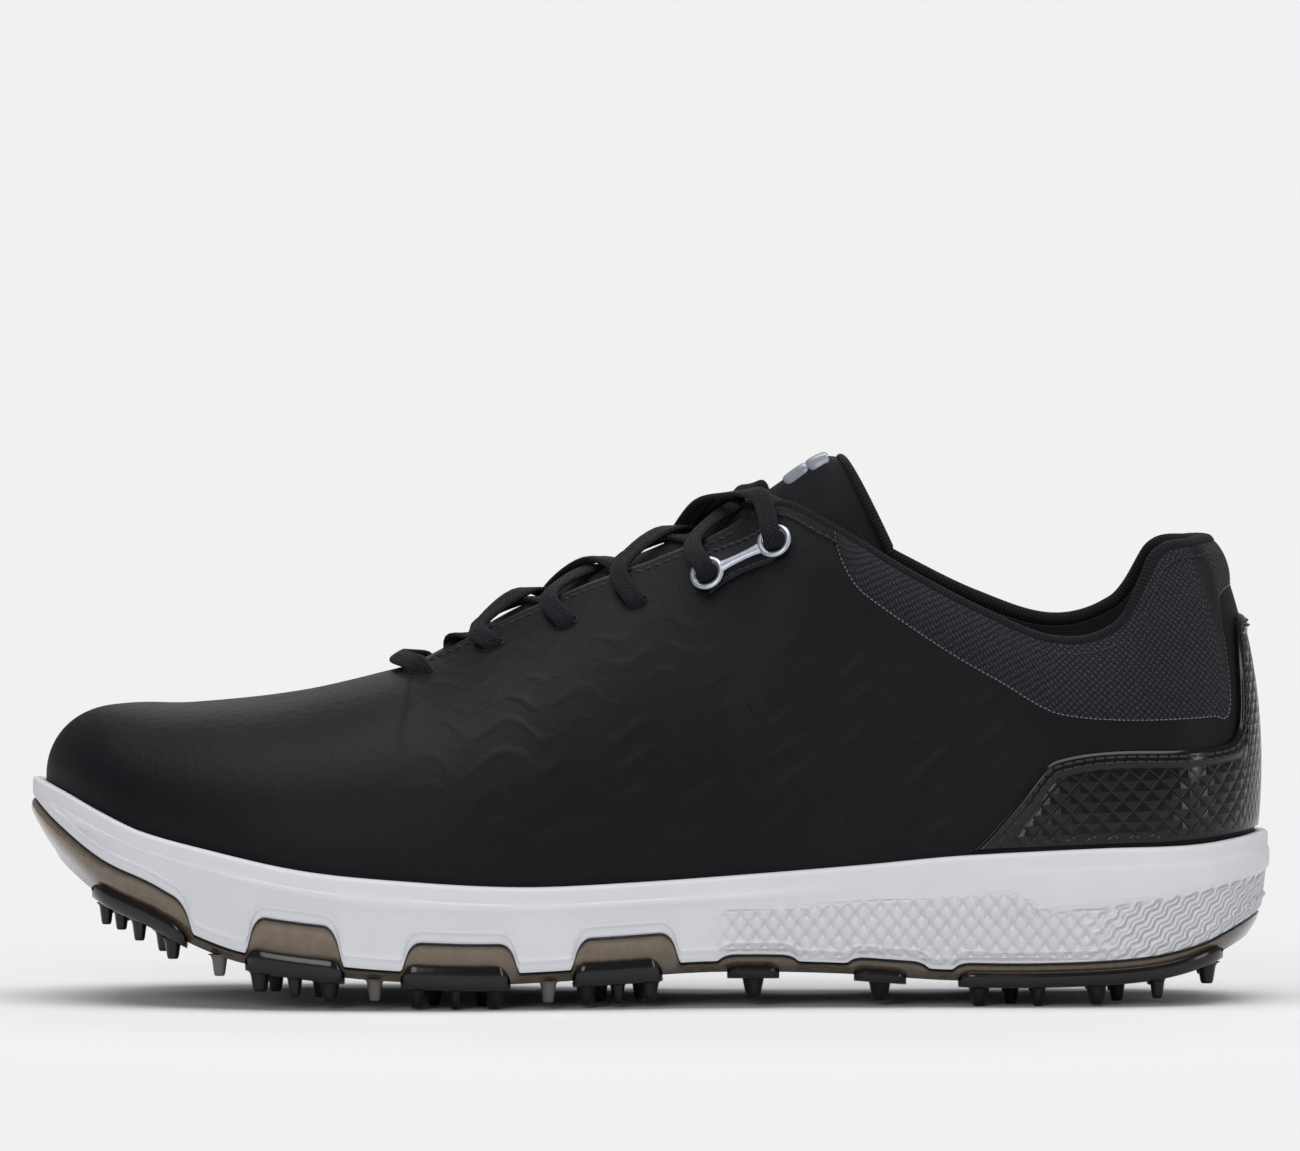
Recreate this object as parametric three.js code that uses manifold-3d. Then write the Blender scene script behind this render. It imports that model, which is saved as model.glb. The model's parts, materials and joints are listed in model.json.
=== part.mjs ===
// Golf shoe for the left foot, built as separate moulded, sewn and cemented pieces.
// Frame: millimetres, +Z up, ground at Z = 0, heel at +X, toe at -X, outer side at -Y.
//
// Most pieces follow one surface, the last: ribs that rise from the sole's outline to the
// collar, the throat or the crest of the vamp. A place on it is (u, v): u runs round the
// outline from the toe (-1) along the outer side to the heel (0) and back along the inner
// side to the toe (+1), and v runs up a rib from the sole (0) to its top (1).

import * as THREE from 'three';
import { mergeVertices } from 'three/addons/utils/BufferGeometryUtils.js';
import Module from 'manifold-3d';

const wasm = await Module();
wasm.setup();

// ---------------------------------------------------------------- driving dimensions

const shoeLength = 300;
const ballWidth = 110;
const heelWidth = 79;
const collarWidth = 59;
const quarterHeight = 123;
const gap = 0.3;

const plateThickness = 2.2;
const wallThickness = 1.8;
const padThickness = 1.2;
const lugHeight = 4.65;
const rimThickness = 3;
const rimHeight = 5.5;
const shankThickness = 1.2;
const shankWidth = 26;
const strobelThickness = 1.5;
const insoleThickness = 4;
const footbedGap = 0.6;
const wallGap = 0.4;
const podGap = 0.45;

const shellThickness = 1.8;
const stiffenerThickness = 1;
const liningThickness = 1;
const paddingThickness = 5;
const overlayThickness = 1.2;
const bindingRadius = 2;
const pipingRadius = 0.8;

const laceWidth = 4.8;
const laceThickness = 1.5;
const tipLength = 20;
const tipRadius = 1.4;
const linkRoom = 0.5;
const linkRingWidth = 1.1;
const linkHoleRadius = laceWidth / 2 + linkRoom;
const linkRadius = linkHoleRadius + linkRingWidth;
const linkBarWidth = 2;
const linkThickness = 1.2;
const linkPatchMargin = 2.2;
const linkPatchThickness = 0.8;
const badgeThickness = 1;

const lateral = -1;
const medial = 1;

// ---------------------------------------------------------------- outlines of the shoe

// The sole's outline: [u, x as a share of the length, and y as a share of the local half
// width on the outer and on the inner side].
const outlineRows = [
  [0, 0.5, 0, 0],
  [0.06, 0.4817, 0.5, 0.49],
  [0.12, 0.431, 0.85, 0.82],
  [0.2, 0.343, 1, 0.96],
  [0.3, 0.23, 0.99, 0.89],
  [0.42, 0.093, 0.91, 0.74],
  [0.54, -0.043, 0.93, 0.79],
  [0.66, -0.18, 0.995, 0.95],
  [0.76, -0.293, 0.945, 1],
  [0.85, -0.39, 0.745, 0.885],
  [0.93, -0.463, 0.4, 0.565],
  [1, -0.5, -0.11, 0.11],
];

// The top of the upper: [u, x as a share of the length, y as a share of half the collar's
// width, and the height on the outer and inner side as shares of the quarter's height].
const topRows = [
  [0, 0.4533, 0, 0.922, 0.922],
  [0.05, 0.438, 0.475, 0.918, 0.918],
  [0.1, 0.407, 0.73, 0.895, 0.9],
  [0.15, 0.373, 0.865, 0.756, 0.79],
  [0.2, 0.327, 0.966, 0.731, 0.756],
  [0.26, 0.267, 0.983, 0.789, 0.8],
  [0.32, 0.207, 0.932, 0.866, 0.872],
  [0.38, 0.14, 0.83, 0.963, 0.963],
  [0.42, 0.1, 0.72, 0.996, 0.996],
  [0.45, 0.06, 0.63, 0.935, 0.935],
  [0.49, 0.01, 0.56, 0.882, 0.882],
  [0.55, -0.06, 0.49, 0.817, 0.817],
  [0.61, -0.123, 0.4, 0.748, 0.748],
  [0.66, -0.173, 0.27, 0.683, 0.683],
  [0.68, -0.189, 0.14, 0.664, 0.664],
  [0.69, -0.193, 0, 0.659, 0.659],
  [0.76, -0.277, 0, 0.61, 0.61],
  [0.85, -0.36, 0, 0.585, 0.585],
  [0.92, -0.403, 0, 0.584, 0.584],
  [1, -0.423, 0, 0.581, 0.581],
];

// The ribs: [u, lean outwards at the sole and rise at the top in degrees, and the pull of
// each end as a share of the rib's chord].
const ribRows = [
  [0, 6, 67, 0.36, 0.34],
  [0.1, 5, 72, 0.36, 0.34],
  [0.2, 2, 70, 0.36, 0.34],
  [0.32, 1, 64, 0.36, 0.34],
  [0.42, 2, 52, 0.36, 0.34],
  [0.49, 5, 42, 0.36, 0.36],
  [0.55, 8, 36, 0.36, 0.38],
  [0.61, 11, 28, 0.36, 0.4],
  [0.66, 14, 15, 0.34, 0.42],
  [0.69, 14, 0, 0.34, 0.43],
  [0.76, 14, 0, 0.34, 0.46],
  [0.85, 10, 0, 0.33, 0.48],
  [1, 4, 0, 0.33, 0.52],
];

// Heights along the shoe: [x as a share of the length, height].
const rimRows = [
  [-0.5, 54], [-0.473, 51], [-0.442, 46.6], [-0.41, 42.5], [-0.362, 38.9], [-0.28, 33.8],
  [-0.2, 31.4], [-0.1, 29.8], [-0.01, 30.7], [0.09, 32.6], [0.17, 34.5], [0.25, 36.7],
  [0.36, 38.4], [0.44, 39], [0.5, 41.3],
];
const plateRows = [
  [-0.5, 40], [-0.482, 34.8], [-0.442, 26], [-0.402, 20.8], [-0.366, 15.2], [-0.325, 11.1],
  [-0.245, 8], [-0.18, 6.7], [-0.12, 6.3], [-0.04, 7.3], [0.05, 8.7], [0.15, 8.2],
  [0.24, 6.5], [0.32, 6.3], [0.4, 7.6], [0.443, 10.4], [0.475, 14.7], [0.5, 18.5],
];

// Windows where the outsole's wall rises past the midsole's edge: [start, end, rise].
const windows = [
  [-0.6, -0.366, 9.5], [-0.325, -0.245, 12.3], [-0.2, -0.104, 10], [-0.064, 0.025, 10.3],
  [0.053, 0.121, 4.4], [0.157, 0.226, 4.4], [0.242, 0.6, 4.6],
];
const windowRamp = 5;

// ---------------------------------------------------------------- small mathematics

const mix = (a, b, t) => a + (b - a) * t;
const clamp01 = (t) => Math.min(1, Math.max(0, t));
const rad = (degrees) => THREE.MathUtils.degToRad(degrees);
const vec = (x, y, z) => new THREE.Vector3(x, y, z);
const spread = (from, to, steps) =>
  Array.from({ length: steps + 1 }, (_, i) => mix(from, to, i / steps));

function smooth(low, high, t) {
  const s = clamp01((t - low) / (high - low));
  return s * s * (3 - 2 * s);
}

// A smooth curve through the rows, whose first entry is the place along it.
function along(rows, t) {
  const last = rows.length - 1;
  let i = 0;
  while (i < last - 1 && t > rows[i + 1][0]) i += 1;
  const a = rows[i];
  const b = rows[i + 1];
  const before = rows[Math.max(0, i - 1)];
  const after = rows[Math.min(last, i + 2)];
  const width = b[0] - a[0];
  const s = clamp01((t - a[0]) / width);
  return a.slice(1).map((value, k) => {
    const next = b[k + 1];
    const slopeA = ((next - before[k + 1]) / (b[0] - before[0])) * width;
    const slopeB = ((after[k + 1] - value) / (after[0] - a[0])) * width;
    const bend = s * s * (3 - 2 * s);
    return (
      mix(value, next, bend) +
      s * (1 - s) * (1 - s) * slopeA -
      s * s * (1 - s) * slopeB
    );
  });
}

const wrap = (u) => (u > 1 ? u - 2 : u < -1 ? u + 2 : u);
const rimTop = (x) => along(rimRows, x / shoeLength)[0];
const bedHeight = (x) => rimTop(x) - rimHeight;
const plateBottom = (x) => along(plateRows, x / shoeLength)[0];

// Where the outsole's wall ends and the midsole's skin begins.
function wallTop(x) {
  const lobe = plateThickness + 2 * gap;
  let rise = lobe;
  for (const [start, end, height] of windows) {
    const inside = smooth(start * shoeLength, start * shoeLength + windowRamp, x)
      * (1 - smooth(end * shoeLength - windowRamp, end * shoeLength, x));
    rise = Math.max(rise, mix(lobe, height, inside));
  }
  return plateBottom(x) + rise;
}

// ---------------------------------------------------------------- the sole's outline

const sideRows = [1, 2].map((side) => {
  const rows = outlineRows.map((row) => [row[0], row[1], row[1 + side]]);
  const heelMirror = [-rows[1][0], rows[1][1], -outlineRows[1][4 - side]];
  const toeMirror = [2 - 0.93, rows[10][1], -outlineRows[10][4 - side]];
  return [heelMirror, ...rows, toeMirror];
});

function rawOutline(u) {
  const side = u < 0 ? lateral : medial;
  const [x, share] = along(u < 0 ? sideRows[0] : sideRows[1], Math.abs(u));
  const halfWidth = mix(heelWidth, ballWidth, smooth(0.25, 0.65, Math.abs(u))) / 2;
  return vec(x * shoeLength, side * share * halfWidth, 0);
}

const outlineSamples = spread(-1, 1, 400).map(rawOutline);
const sideShift = (Math.max(...outlineSamples.map((p) => p.y))
  + Math.min(...outlineSamples.map((p) => p.y))) / 2;

function inward(u) {
  const step = 0.004;
  const run = rawOutline(wrap(u + step)).sub(rawOutline(wrap(u - step))).normalize();
  return vec(-run.y, run.x, 0);
}

function outline(u, inset) {
  return rawOutline(u).addScaledVector(inward(u), inset).setY(
    rawOutline(u).y + inward(u).y * inset - sideShift,
  );
}

// The outline's place on one side at a given x.
function outlineAtX(x, side, inset) {
  let low = 0;
  let high = 1;
  for (let i = 0; i < 30; i += 1) {
    const middle = (low + high) / 2;
    if (outline(side * middle, inset).x > x) low = middle;
    else high = middle;
  }
  return outline(side * low, inset).y;
}

// ---------------------------------------------------------------- the last's surface

const featherInset = rimThickness + gap;
const throatFront = 0.69;
const steepestEdge = 0.4;
const toeBias = 4;

const topTable = [0, 1].map((side) => {
  const rows = topRows.map((row) => [row[0], row[1], row[2], row[3 + side]]);
  return [[-rows[1][0], rows[1][1], -rows[1][2], rows[1][3]], ...rows];
});

function topLine(u) {
  const side = u < 0 ? lateral : medial;
  const [x, y, z] = along(topTable[u < 0 ? 0 : 1], Math.abs(u));
  const share = Math.abs(u) >= throatFront ? 0 : Math.max(0, y);
  return vec(
    x * shoeLength,
    side * share * (collarWidth / 2) + toeBias * smooth(throatFront, 1, Math.abs(u)),
    z * quarterHeight,
  );
}

function rib(u) {
  const [lean, rise, startPull, endPull] = along(ribRows, Math.abs(u));
  const into = inward(u);
  const foot = outline(u, featherInset);
  foot.z = rimTop(foot.x);
  const top = topLine(u);
  const chord = foot.distanceTo(top);
  const start = foot.clone().addScaledVector(into, -Math.sin(rad(lean)) * startPull * chord);
  start.z += Math.cos(rad(lean)) * startPull * chord;
  const end = top.clone().addScaledVector(into, -Math.cos(rad(rise)) * endPull * chord);
  end.z -= Math.sin(rad(rise)) * endPull * chord;
  return [foot, start, end, top];
}

function surface(u, v) {
  const [a, b, c, d] = rib(wrap(u));
  const w = 1 - v;
  return vec(0, 0, 0)
    .addScaledVector(a, w * w * w)
    .addScaledVector(b, 3 * w * w * v)
    .addScaledVector(c, 3 * w * v * v)
    .addScaledVector(d, v * v * v);
}

function inwardNormal(u, v) {
  if (v >= 1 && Math.abs(u) >= throatFront) return vec(0, 0, -1);
  const step = 0.004;
  const runU = surface(u + step, v).sub(surface(u - step, v));
  const runV = surface(u, Math.min(1, v + step)).sub(surface(u, Math.max(0, v - step)));
  return runV.cross(runU).normalize();
}

// A place at a depth under the surface; v below 0 goes down inside the midsole's rim.
function layer(u, v, depth) {
  if (v < 0) {
    const place = outline(wrap(u), featherInset + depth);
    place.z = rimTop(outline(wrap(u), featherInset).x) + v * (rimHeight - gap);
    return place;
  }
  return surface(u, v).addScaledVector(inwardNormal(u, v), depth);
}

// The v on a rib that lies a distance in from the upper's edge, however the edge slants.
function fromTop(u, distance) {
  const [, , end, top] = rib(u);
  const step = 0.002;
  const edge = topLine(u + step).sub(topLine(u - step)).normalize();
  const up = top.clone().sub(end).normalize();
  const slant = Math.max(steepestEdge, edge.cross(up).length());
  return 1 - distance / (slant * 3 * end.distanceTo(top));
}

// The v where a rib passes a height.
function atHeight(u, z) {
  let low = 0;
  let high = 1;
  for (let i = 0; i < 30; i += 1) {
    const middle = (low + high) / 2;
    if (surface(u, middle).z < z) low = middle;
    else high = middle;
  }
  return low;
}

// ---------------------------------------------------------------- solids from points

function solid(points, faces) {
  const geometry = new THREE.BufferGeometry();
  const coordinates = points.flatMap((p) => [p.x, p.y, p.z]);
  geometry.setAttribute('position', new THREE.Float32BufferAttribute(coordinates, 3));
  geometry.setIndex(faces.flat());
  const merged = mergeVertices(geometry, 1e-4);
  const place = merged.getAttribute('position');
  const corner = (i) => vec(place.getX(i), place.getY(i), place.getZ(i));
  const kept = [];
  let volume = 0;
  for (let i = 0; i < merged.index.count; i += 3) {
    const [a, b, c] = [0, 1, 2].map((k) => merged.index.getX(i + k));
    if (a === b || b === c || a === c) continue;
    volume += corner(a).dot(corner(b).cross(corner(c)));
    kept.push(a, b, c);
  }
  if (volume < 0) kept.reverse();
  merged.setIndex(kept);
  return merged;
}

const quad = (a, b, c, d) => [[a, b, c], [a, c, d]];

// A solid between stacked rings that run round the outline from the toe; the first and last
// rings are closed by rungs from one side to the other.
function ringSolid(rings) {
  const count = rings[0].length;
  const faces = [];
  rings.slice(1).forEach((_, r) => {
    for (let i = 0; i < count; i += 1) {
      const next = (i + 1) % count;
      faces.push(...quad(r * count + i, r * count + next, (r + 1) * count + next, (r + 1) * count + i));
    }
  });
  const lastRing = (rings.length - 1) * count;
  for (let i = 0; i < count / 2; i += 1) {
    const opposite = (count - i) % count;
    const before = count - i - 1;
    faces.push(...quad(i, opposite, before, i + 1));
    faces.push(...quad(lastRing + i, lastRing + i + 1, lastRing + before, lastRing + opposite));
  }
  return solid(rings.flat(), faces);
}

const ringStations = (count) => Array.from({ length: count }, (_, i) => -1 + (2 * i) / count);

// A ring round the outline at an inset, drawn towards the middle line by a share, at a height
// that depends on x.
function ring(count, inset, height, share = 0) {
  return ringStations(count).map((u) => {
    const place = outline(u, typeof inset === 'number' ? inset : inset(u));
    place.y *= 1 - share;
    place.z = height(place.x);
    return place;
  });
}

// A layer between two depths over a stretch of the surface. rows(u) lists the v values.
function layerSolid({ stations, closed = false, rows, outer, inner, stitchFrom = 2 }) {
  const grid = stations.map((u) => rows(u).map((v) => [layer(u, v, outer(u, v)), layer(u, v, inner(u, v))]));
  const rowCount = grid[0].length;
  const points = grid.flat(2);
  const id = (i, j, side) => ((i % stations.length) * rowCount + j) * 2 + side;
  const faces = [];
  const spans = closed ? stations.length : stations.length - 1;
  for (let i = 0; i < spans; i += 1) {
    for (let j = 0; j < rowCount - 1; j += 1) {
      faces.push(...quad(id(i, j, 0), id(i + 1, j, 0), id(i + 1, j + 1, 0), id(i, j + 1, 0)));
      faces.push(...quad(id(i, j, 1), id(i, j + 1, 1), id(i + 1, j + 1, 1), id(i + 1, j, 1)));
    }
    faces.push(...quad(id(i, 0, 0), id(i, 0, 1), id(i + 1, 0, 1), id(i + 1, 0, 0)));
    const top = rowCount - 1;
    const next = stations[(i + 1) % stations.length];
    const stitched = Math.abs(stations[i]) >= stitchFrom && Math.abs(next) >= stitchFrom;
    if (!stitched) faces.push(...quad(id(i, top, 0), id(i + 1, top, 0), id(i + 1, top, 1), id(i, top, 1)));
  }
  if (!closed) {
    const end = stations.length - 1;
    for (let j = 0; j < rowCount - 1; j += 1) {
      faces.push(...quad(id(0, j, 0), id(0, j + 1, 0), id(0, j + 1, 1), id(0, j, 1)));
      faces.push(...quad(id(end, j, 0), id(end, j, 1), id(end, j + 1, 1), id(end, j + 1, 0)));
    }
  }
  return solid(points, faces);
}

// A bar swept through frames, each {place, across, up}, with the section's corners given as
// shares [across, up].
function sweep(frames, corners) {
  const count = corners.length;
  const points = frames.flatMap(({ place, across, up }) => corners.map(([a, b]) =>
    place.clone().addScaledVector(across, a).addScaledVector(up, b)));
  const faces = [];
  for (let i = 0; i < frames.length - 1; i += 1) {
    for (let k = 0; k < count; k += 1) {
      const next = (k + 1) % count;
      faces.push(...quad(i * count + k, i * count + next, (i + 1) * count + next, (i + 1) * count + k));
    }
  }
  const last = (frames.length - 1) * count;
  for (let k = 1; k < count - 1; k += 1) {
    faces.push([0, k + 1, k], [last, last + k, last + k + 1]);
  }
  return solid(points, faces);
}

// Frames along a line of places, with the section's width kept towards a hint.
function framesAlong(places, hints) {
  return places.map((place, i) => {
    const before = places[Math.max(0, i - 1)];
    const after = places[Math.min(places.length - 1, i + 1)];
    const into = place.clone().sub(before).normalize();
    const out = after.clone().sub(place).normalize();
    const run = into.add(out).normalize();
    const across = hints[i].clone().addScaledVector(run, -hints[i].dot(run)).normalize();
    return { place, across, up: run.clone().cross(across) };
  });
}

const roundSection = (radius, sides) => Array.from({ length: sides }, (_, k) => {
  const angle = (2 * Math.PI * k) / sides;
  return [radius * Math.cos(angle), radius * Math.sin(angle)];
});

function toManifold(geometry) {
  const bare = geometry.clone();
  bare.deleteAttribute('normal');
  bare.deleteAttribute('uv');
  const merged = mergeVertices(bare, 1e-4);
  return new wasm.Manifold(new wasm.Mesh({
    numProp: 3,
    vertProperties: new Float32Array(merged.getAttribute('position').array),
    triVerts: new Uint32Array(merged.index.array),
  }));
}

function fromManifold(body) {
  const mesh = body.getMesh();
  const geometry = new THREE.BufferGeometry();
  geometry.setAttribute('position', new THREE.Float32BufferAttribute(mesh.vertProperties, 3));
  geometry.setIndex(Array.from(mesh.triVerts));
  return geometry;
}

// Cuts tools from a piece and keeps its main body, without the loose trimmings.
function cut(geometry, tools) {
  const body = tools.reduce((rest, tool) => rest.subtract(toManifold(tool)), toManifold(geometry));
  const bodies = body.decompose().sort((a, b) => b.volume() - a.volume());
  return fromManifold(bodies[0]);
}

const join = (geometries) => fromManifold(geometries.map(toManifold).reduce((a, b) => a.add(b)));

// ---------------------------------------------------------------- sole

const soleStations = 84;
const wallInset = 2.2;
const plateInset = 3.6;
const toePlateInset = 5.2;
const chamfer = 1.2;
const coreInset = 12;
const coreShare = 0.45;

const plateEdge = (u) => mix(plateInset, toePlateInset, smooth(0.8, 1, Math.abs(u)));

function outsoleGeometry() {
  const top = (x) => plateBottom(x) + plateThickness;
  return ringSolid([
    ring(soleStations, (u) => plateEdge(u) + coreInset, top, coreShare),
    ring(soleStations, (u) => plateEdge(u) + wallThickness, top),
    ring(soleStations, () => wallInset + wallThickness, (x) => wallTop(x) - wallGap),
    ring(soleStations, () => wallInset, (x) => wallTop(x) - wallGap),
    ring(soleStations, plateEdge, (x) => plateBottom(x) + chamfer),
    ring(soleStations, (u) => plateEdge(u) + chamfer, plateBottom),
    ring(soleStations, (u) => plateEdge(u) + coreInset, plateBottom, coreShare),
  ]);
}

function midsoleGeometry() {
  const floor = (x) => plateBottom(x) + plateThickness + gap;
  const skirtInset = 1.6;
  const crown = 4;
  const edgeRound = 1.2;
  const body = ringSolid([
    ring(soleStations, (u) => plateEdge(u) + coreInset, floor, coreShare),
    ring(soleStations, (u) => plateEdge(u) + wallThickness + gap, floor),
    ring(soleStations, () => wallInset + wallThickness + gap, wallTop),
    ring(soleStations, () => skirtInset, wallTop),
    ring(soleStations, () => 0, (x) => rimTop(x) - crown),
    ring(soleStations, () => edgeRound * 0.3, (x) => rimTop(x) - edgeRound),
    ring(soleStations, () => edgeRound, rimTop),
    ring(soleStations, () => rimThickness, rimTop),
    ring(soleStations, () => rimThickness, bedHeight),
    ring(soleStations, () => coreInset + rimThickness, bedHeight, coreShare),
  ]);
  return cut(body, [shankGeometry(gap)]);
}

// A stiff strip under the arch, in a pocket of the midsole; grown by a clearance it cuts
// that pocket.
function shankGeometry(clearance) {
  const front = -0.08 * shoeLength - clearance;
  const back = 0.24 * shoeLength + clearance;
  const half = shankWidth / 2 + clearance;
  const steps = 8;
  const bottom = (x) => plateBottom(x) + plateThickness + 2 * gap - 2 * clearance;
  const frames = spread(front, back, steps).map((x) => ({
    place: vec(x, 0, bottom(x)), across: vec(0, 1, 0), up: vec(0, 0, 1),
  }));
  const height = shankThickness + 3 * clearance;
  return sweep(frames, [[-half, 0], [half, 0], [half, height], [-half, height]]);
}

// A board or sole that lies on the footbed inside an inset.
function footbedLayer(inset, base, thickness) {
  const stations = soleStations / 2;
  const low = (x) => bedHeight(x) + base;
  const high = (x) => low(x) + thickness;
  return ringSolid([
    ring(stations, inset + coreInset, low, coreShare),
    ring(stations, inset, low),
    ring(stations, inset, high),
    ring(stations, inset + coreInset, high, coreShare),
  ]);
}

const insoleBase = strobelThickness + 2 * footbedGap;
const insoleTop = (x) => bedHeight(x) + insoleBase + insoleThickness;

// ---------------------------------------------------------------- traction pods

// A tapered lug whose tip never goes below the ground.
function lug(x, y, baseRadius, tipRadiusShare) {
  const root = plateBottom(x) - podGap - padThickness * 0.5;
  const tip = Math.max(0, plateBottom(x) - podGap - padThickness - lugHeight);
  const geometry = new THREE.CylinderGeometry(baseRadius, baseRadius * tipRadiusShare, root - tip, 6);
  geometry.rotateX(Math.PI / 2);
  geometry.translate(x, y, (root + tip) / 2);
  return geometry;
}

// A pad under the plate between two x shares and two distances in from the outline, with
// lugs at [share along, share across, base radius].
function podGeometry({ from, to, outer, inner, side, lugs }) {
  const steps = Math.max(2, Math.round((to - from) * podStepsPerLength));
  const taper = 1.5;
  const frames = spread(from * shoeLength, to * shoeLength, steps).map((x) => {
    const edge = outlineAtX(x, side, outer);
    const far = side * (Math.abs(edge) - (inner - outer));
    return { x, near: edge, far };
  });
  const points = frames.flatMap(({ x, near, far }) => {
    const top = plateBottom(x) - podGap;
    return [
      vec(x, near, top), vec(x, far, top),
      vec(x, far + side * taper * 0.5, top - padThickness),
      vec(x, near - side * taper * 0.5, top - padThickness),
    ];
  });
  const faces = [];
  for (let i = 0; i < steps; i += 1) {
    for (let k = 0; k < 4; k += 1) {
      const next = (k + 1) % 4;
      faces.push(...quad(i * 4 + k, i * 4 + next, i * 4 + 4 + next, i * 4 + 4 + k));
    }
  }
  faces.push(...quad(3, 2, 1, 0), ...quad(steps * 4, steps * 4 + 1, steps * 4 + 2, steps * 4 + 3));
  const pad = solid(points, faces);
  const legs = lugs.map(([alongShare, acrossShare, radius]) => {
    const x = mix(from, to, alongShare) * shoeLength;
    const edge = outlineAtX(x, side, outer);
    return lug(x, edge - side * acrossShare * (inner - outer), radius, 0.55);
  });
  return join([pad, ...legs]);
}

const forefootLugs = [[0.15, 0.2, 2.4], [0.5, 0.18, 1.8], [0.85, 0.2, 2.4], [0.3, 0.75, 2], [0.75, 0.75, 2]];
const heelLugs = [
  [0.08, 0.2, 2.4], [0.3, 0.2, 1.8], [0.52, 0.2, 2.4], [0.75, 0.2, 1.8], [0.94, 0.25, 2.2],
  [0.2, 0.75, 2], [0.6, 0.75, 2],
];
const toeLugs = [[0.15, 0.12, 1.7], [0.5, 0.1, 1.8], [0.85, 0.1, 2], [0.3, 0.6, 1.8], [0.75, 0.55, 2]];
const pegLugs = [[0.5, 0.5, 2.6]];

const podStepsPerLength = 80;

const pods = [
  { name: 'toe_pod', from: -0.45, to: -0.372, outer: 6.5, inner: 25, lugs: toeLugs },
  { name: 'forefoot_pod_1', from: -0.325, to: -0.245, outer: 6, inner: 26, lugs: forefootLugs },
  { name: 'forefoot_pod_2', from: -0.2, to: -0.112, outer: 6, inner: 26, lugs: forefootLugs },
  { name: 'forefoot_pod_3', from: -0.062, to: 0.01, outer: 6, inner: 26, lugs: forefootLugs },
  { name: 'arch_pod_1', from: 0.062, to: 0.104, outer: 6, inner: 17, lugs: pegLugs },
  { name: 'arch_pod_2', from: 0.164, to: 0.206, outer: 6, inner: 17, lugs: pegLugs },
  { name: 'heel_pod', from: 0.248, to: 0.462, outer: 6, inner: 22, lugs: heelLugs },
];

// ---------------------------------------------------------------- upper

const ribDepth = shellThickness + gap;
const liningBase = ribDepth + stiffenerThickness + gap;
const onStrobel = -1 + (strobelThickness + 2 * footbedGap) / (rimHeight - gap);
const bindingEnd = 0.435;
const meshEnd = 0.37;
const stitch = 0.6975;
const edgeClearance = (radius) => 2 * radius + 1.5 * gap;

const bothSides = (rows) => (u) => along(rows, Math.abs(u))[0];

// The lower edge of the collar's mesh panel and the upper edge of the heel overlay, as
// heights round the outline.
const meshLowEdge = bothSides([
  [0, 101], [0.035, 99], [0.045, 95], [0.06, 72], [0.08, 69.7], [0.2, 70.5], [0.25, 79],
  [0.3, 88], [0.345, 98], [0.38, 108],
]);
const overlayHighEdge = bothSides([
  [0, 93], [0.025, 92], [0.037, 84], [0.055, 67], [0.08, 62.5], [0.21, 59.5], [0.245, 48],
  [0.275, 42],
]);

const collarTop = (u) => fromTop(u, edgeClearance(bindingRadius));
const throatTop = (u) => fromTop(u, edgeClearance(pipingRadius));

function padBulge(u, v) {
  const share = clamp01((v - 0.5) / 0.47);
  const fade = 1 - smooth(0.3, 0.38, Math.abs(u));
  const extra = Math.max(0, paddingThickness - stiffenerThickness) * fade * Math.sin(Math.PI * share);
  return stiffenerThickness + extra;
}

const liningDepth = (u, v) => ribDepth + padBulge(u, v) + gap;

function shellTop(u) {
  const place = Math.abs(u);
  if (place < meshEnd + 0.004) return atHeight(u, meshLowEdge(u)) - gap / 60;
  if (place < bindingEnd + 0.0035) return collarTop(u);
  return place < stitch ? throatTop(u) : 1;
}

const rearPlaces = [0, 0.03, 0.045, 0.06, 0.08, 0.105, 0.13, 0.16, 0.19, 0.23, 0.27, 0.31, 0.345];
const toePlaces = [0.87, 0.9, 0.925, 0.95, 0.975, 1];
const throatPlaces = [
  bindingEnd + 0.0045, 0.46, 0.48, 0.51, 0.54, 0.57, 0.6, 0.63, 0.655, 0.675, 0.687, 0.695,
];
const mirrored = (places) => [
  ...places.filter((u) => u < 1).map((u) => -u).reverse(), ...places.slice(1),
];

function shellGeometry(cuts) {
  const places = [
    ...rearPlaces, meshEnd + 0.0035, meshEnd + 0.0075,
    0.41, bindingEnd + 0.0025, ...throatPlaces, stitch,
    0.72, 0.75, 0.78, 0.81, 0.84, ...toePlaces,
  ];
  const body = layerSolid({
    stations: mirrored(places),
    closed: true,
    rows: (u) => [-1, ...spread(0, shellTop(u), 5)],
    outer: () => 0,
    inner: () => shellThickness,
    stitchFrom: stitch,
  });
  return cut(body, cuts);
}

function collarMeshGeometry() {
  const stations = mirrored([...rearPlaces, meshEnd]);
  return layerSolid({
    stations,
    rows: (u) => spread(atHeight(u, meshLowEdge(u) + gap), collarTop(u), 5),
    outer: () => 0,
    inner: () => shellThickness,
  });
}

function collarPaddingGeometry() {
  return layerSolid({
    stations: mirrored(rearPlaces),
    rows: (u) => spread(0.5, collarTop(u), 4),
    outer: () => ribDepth + gap,
    inner: (u, v) => ribDepth + padBulge(u, v),
  });
}

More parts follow.
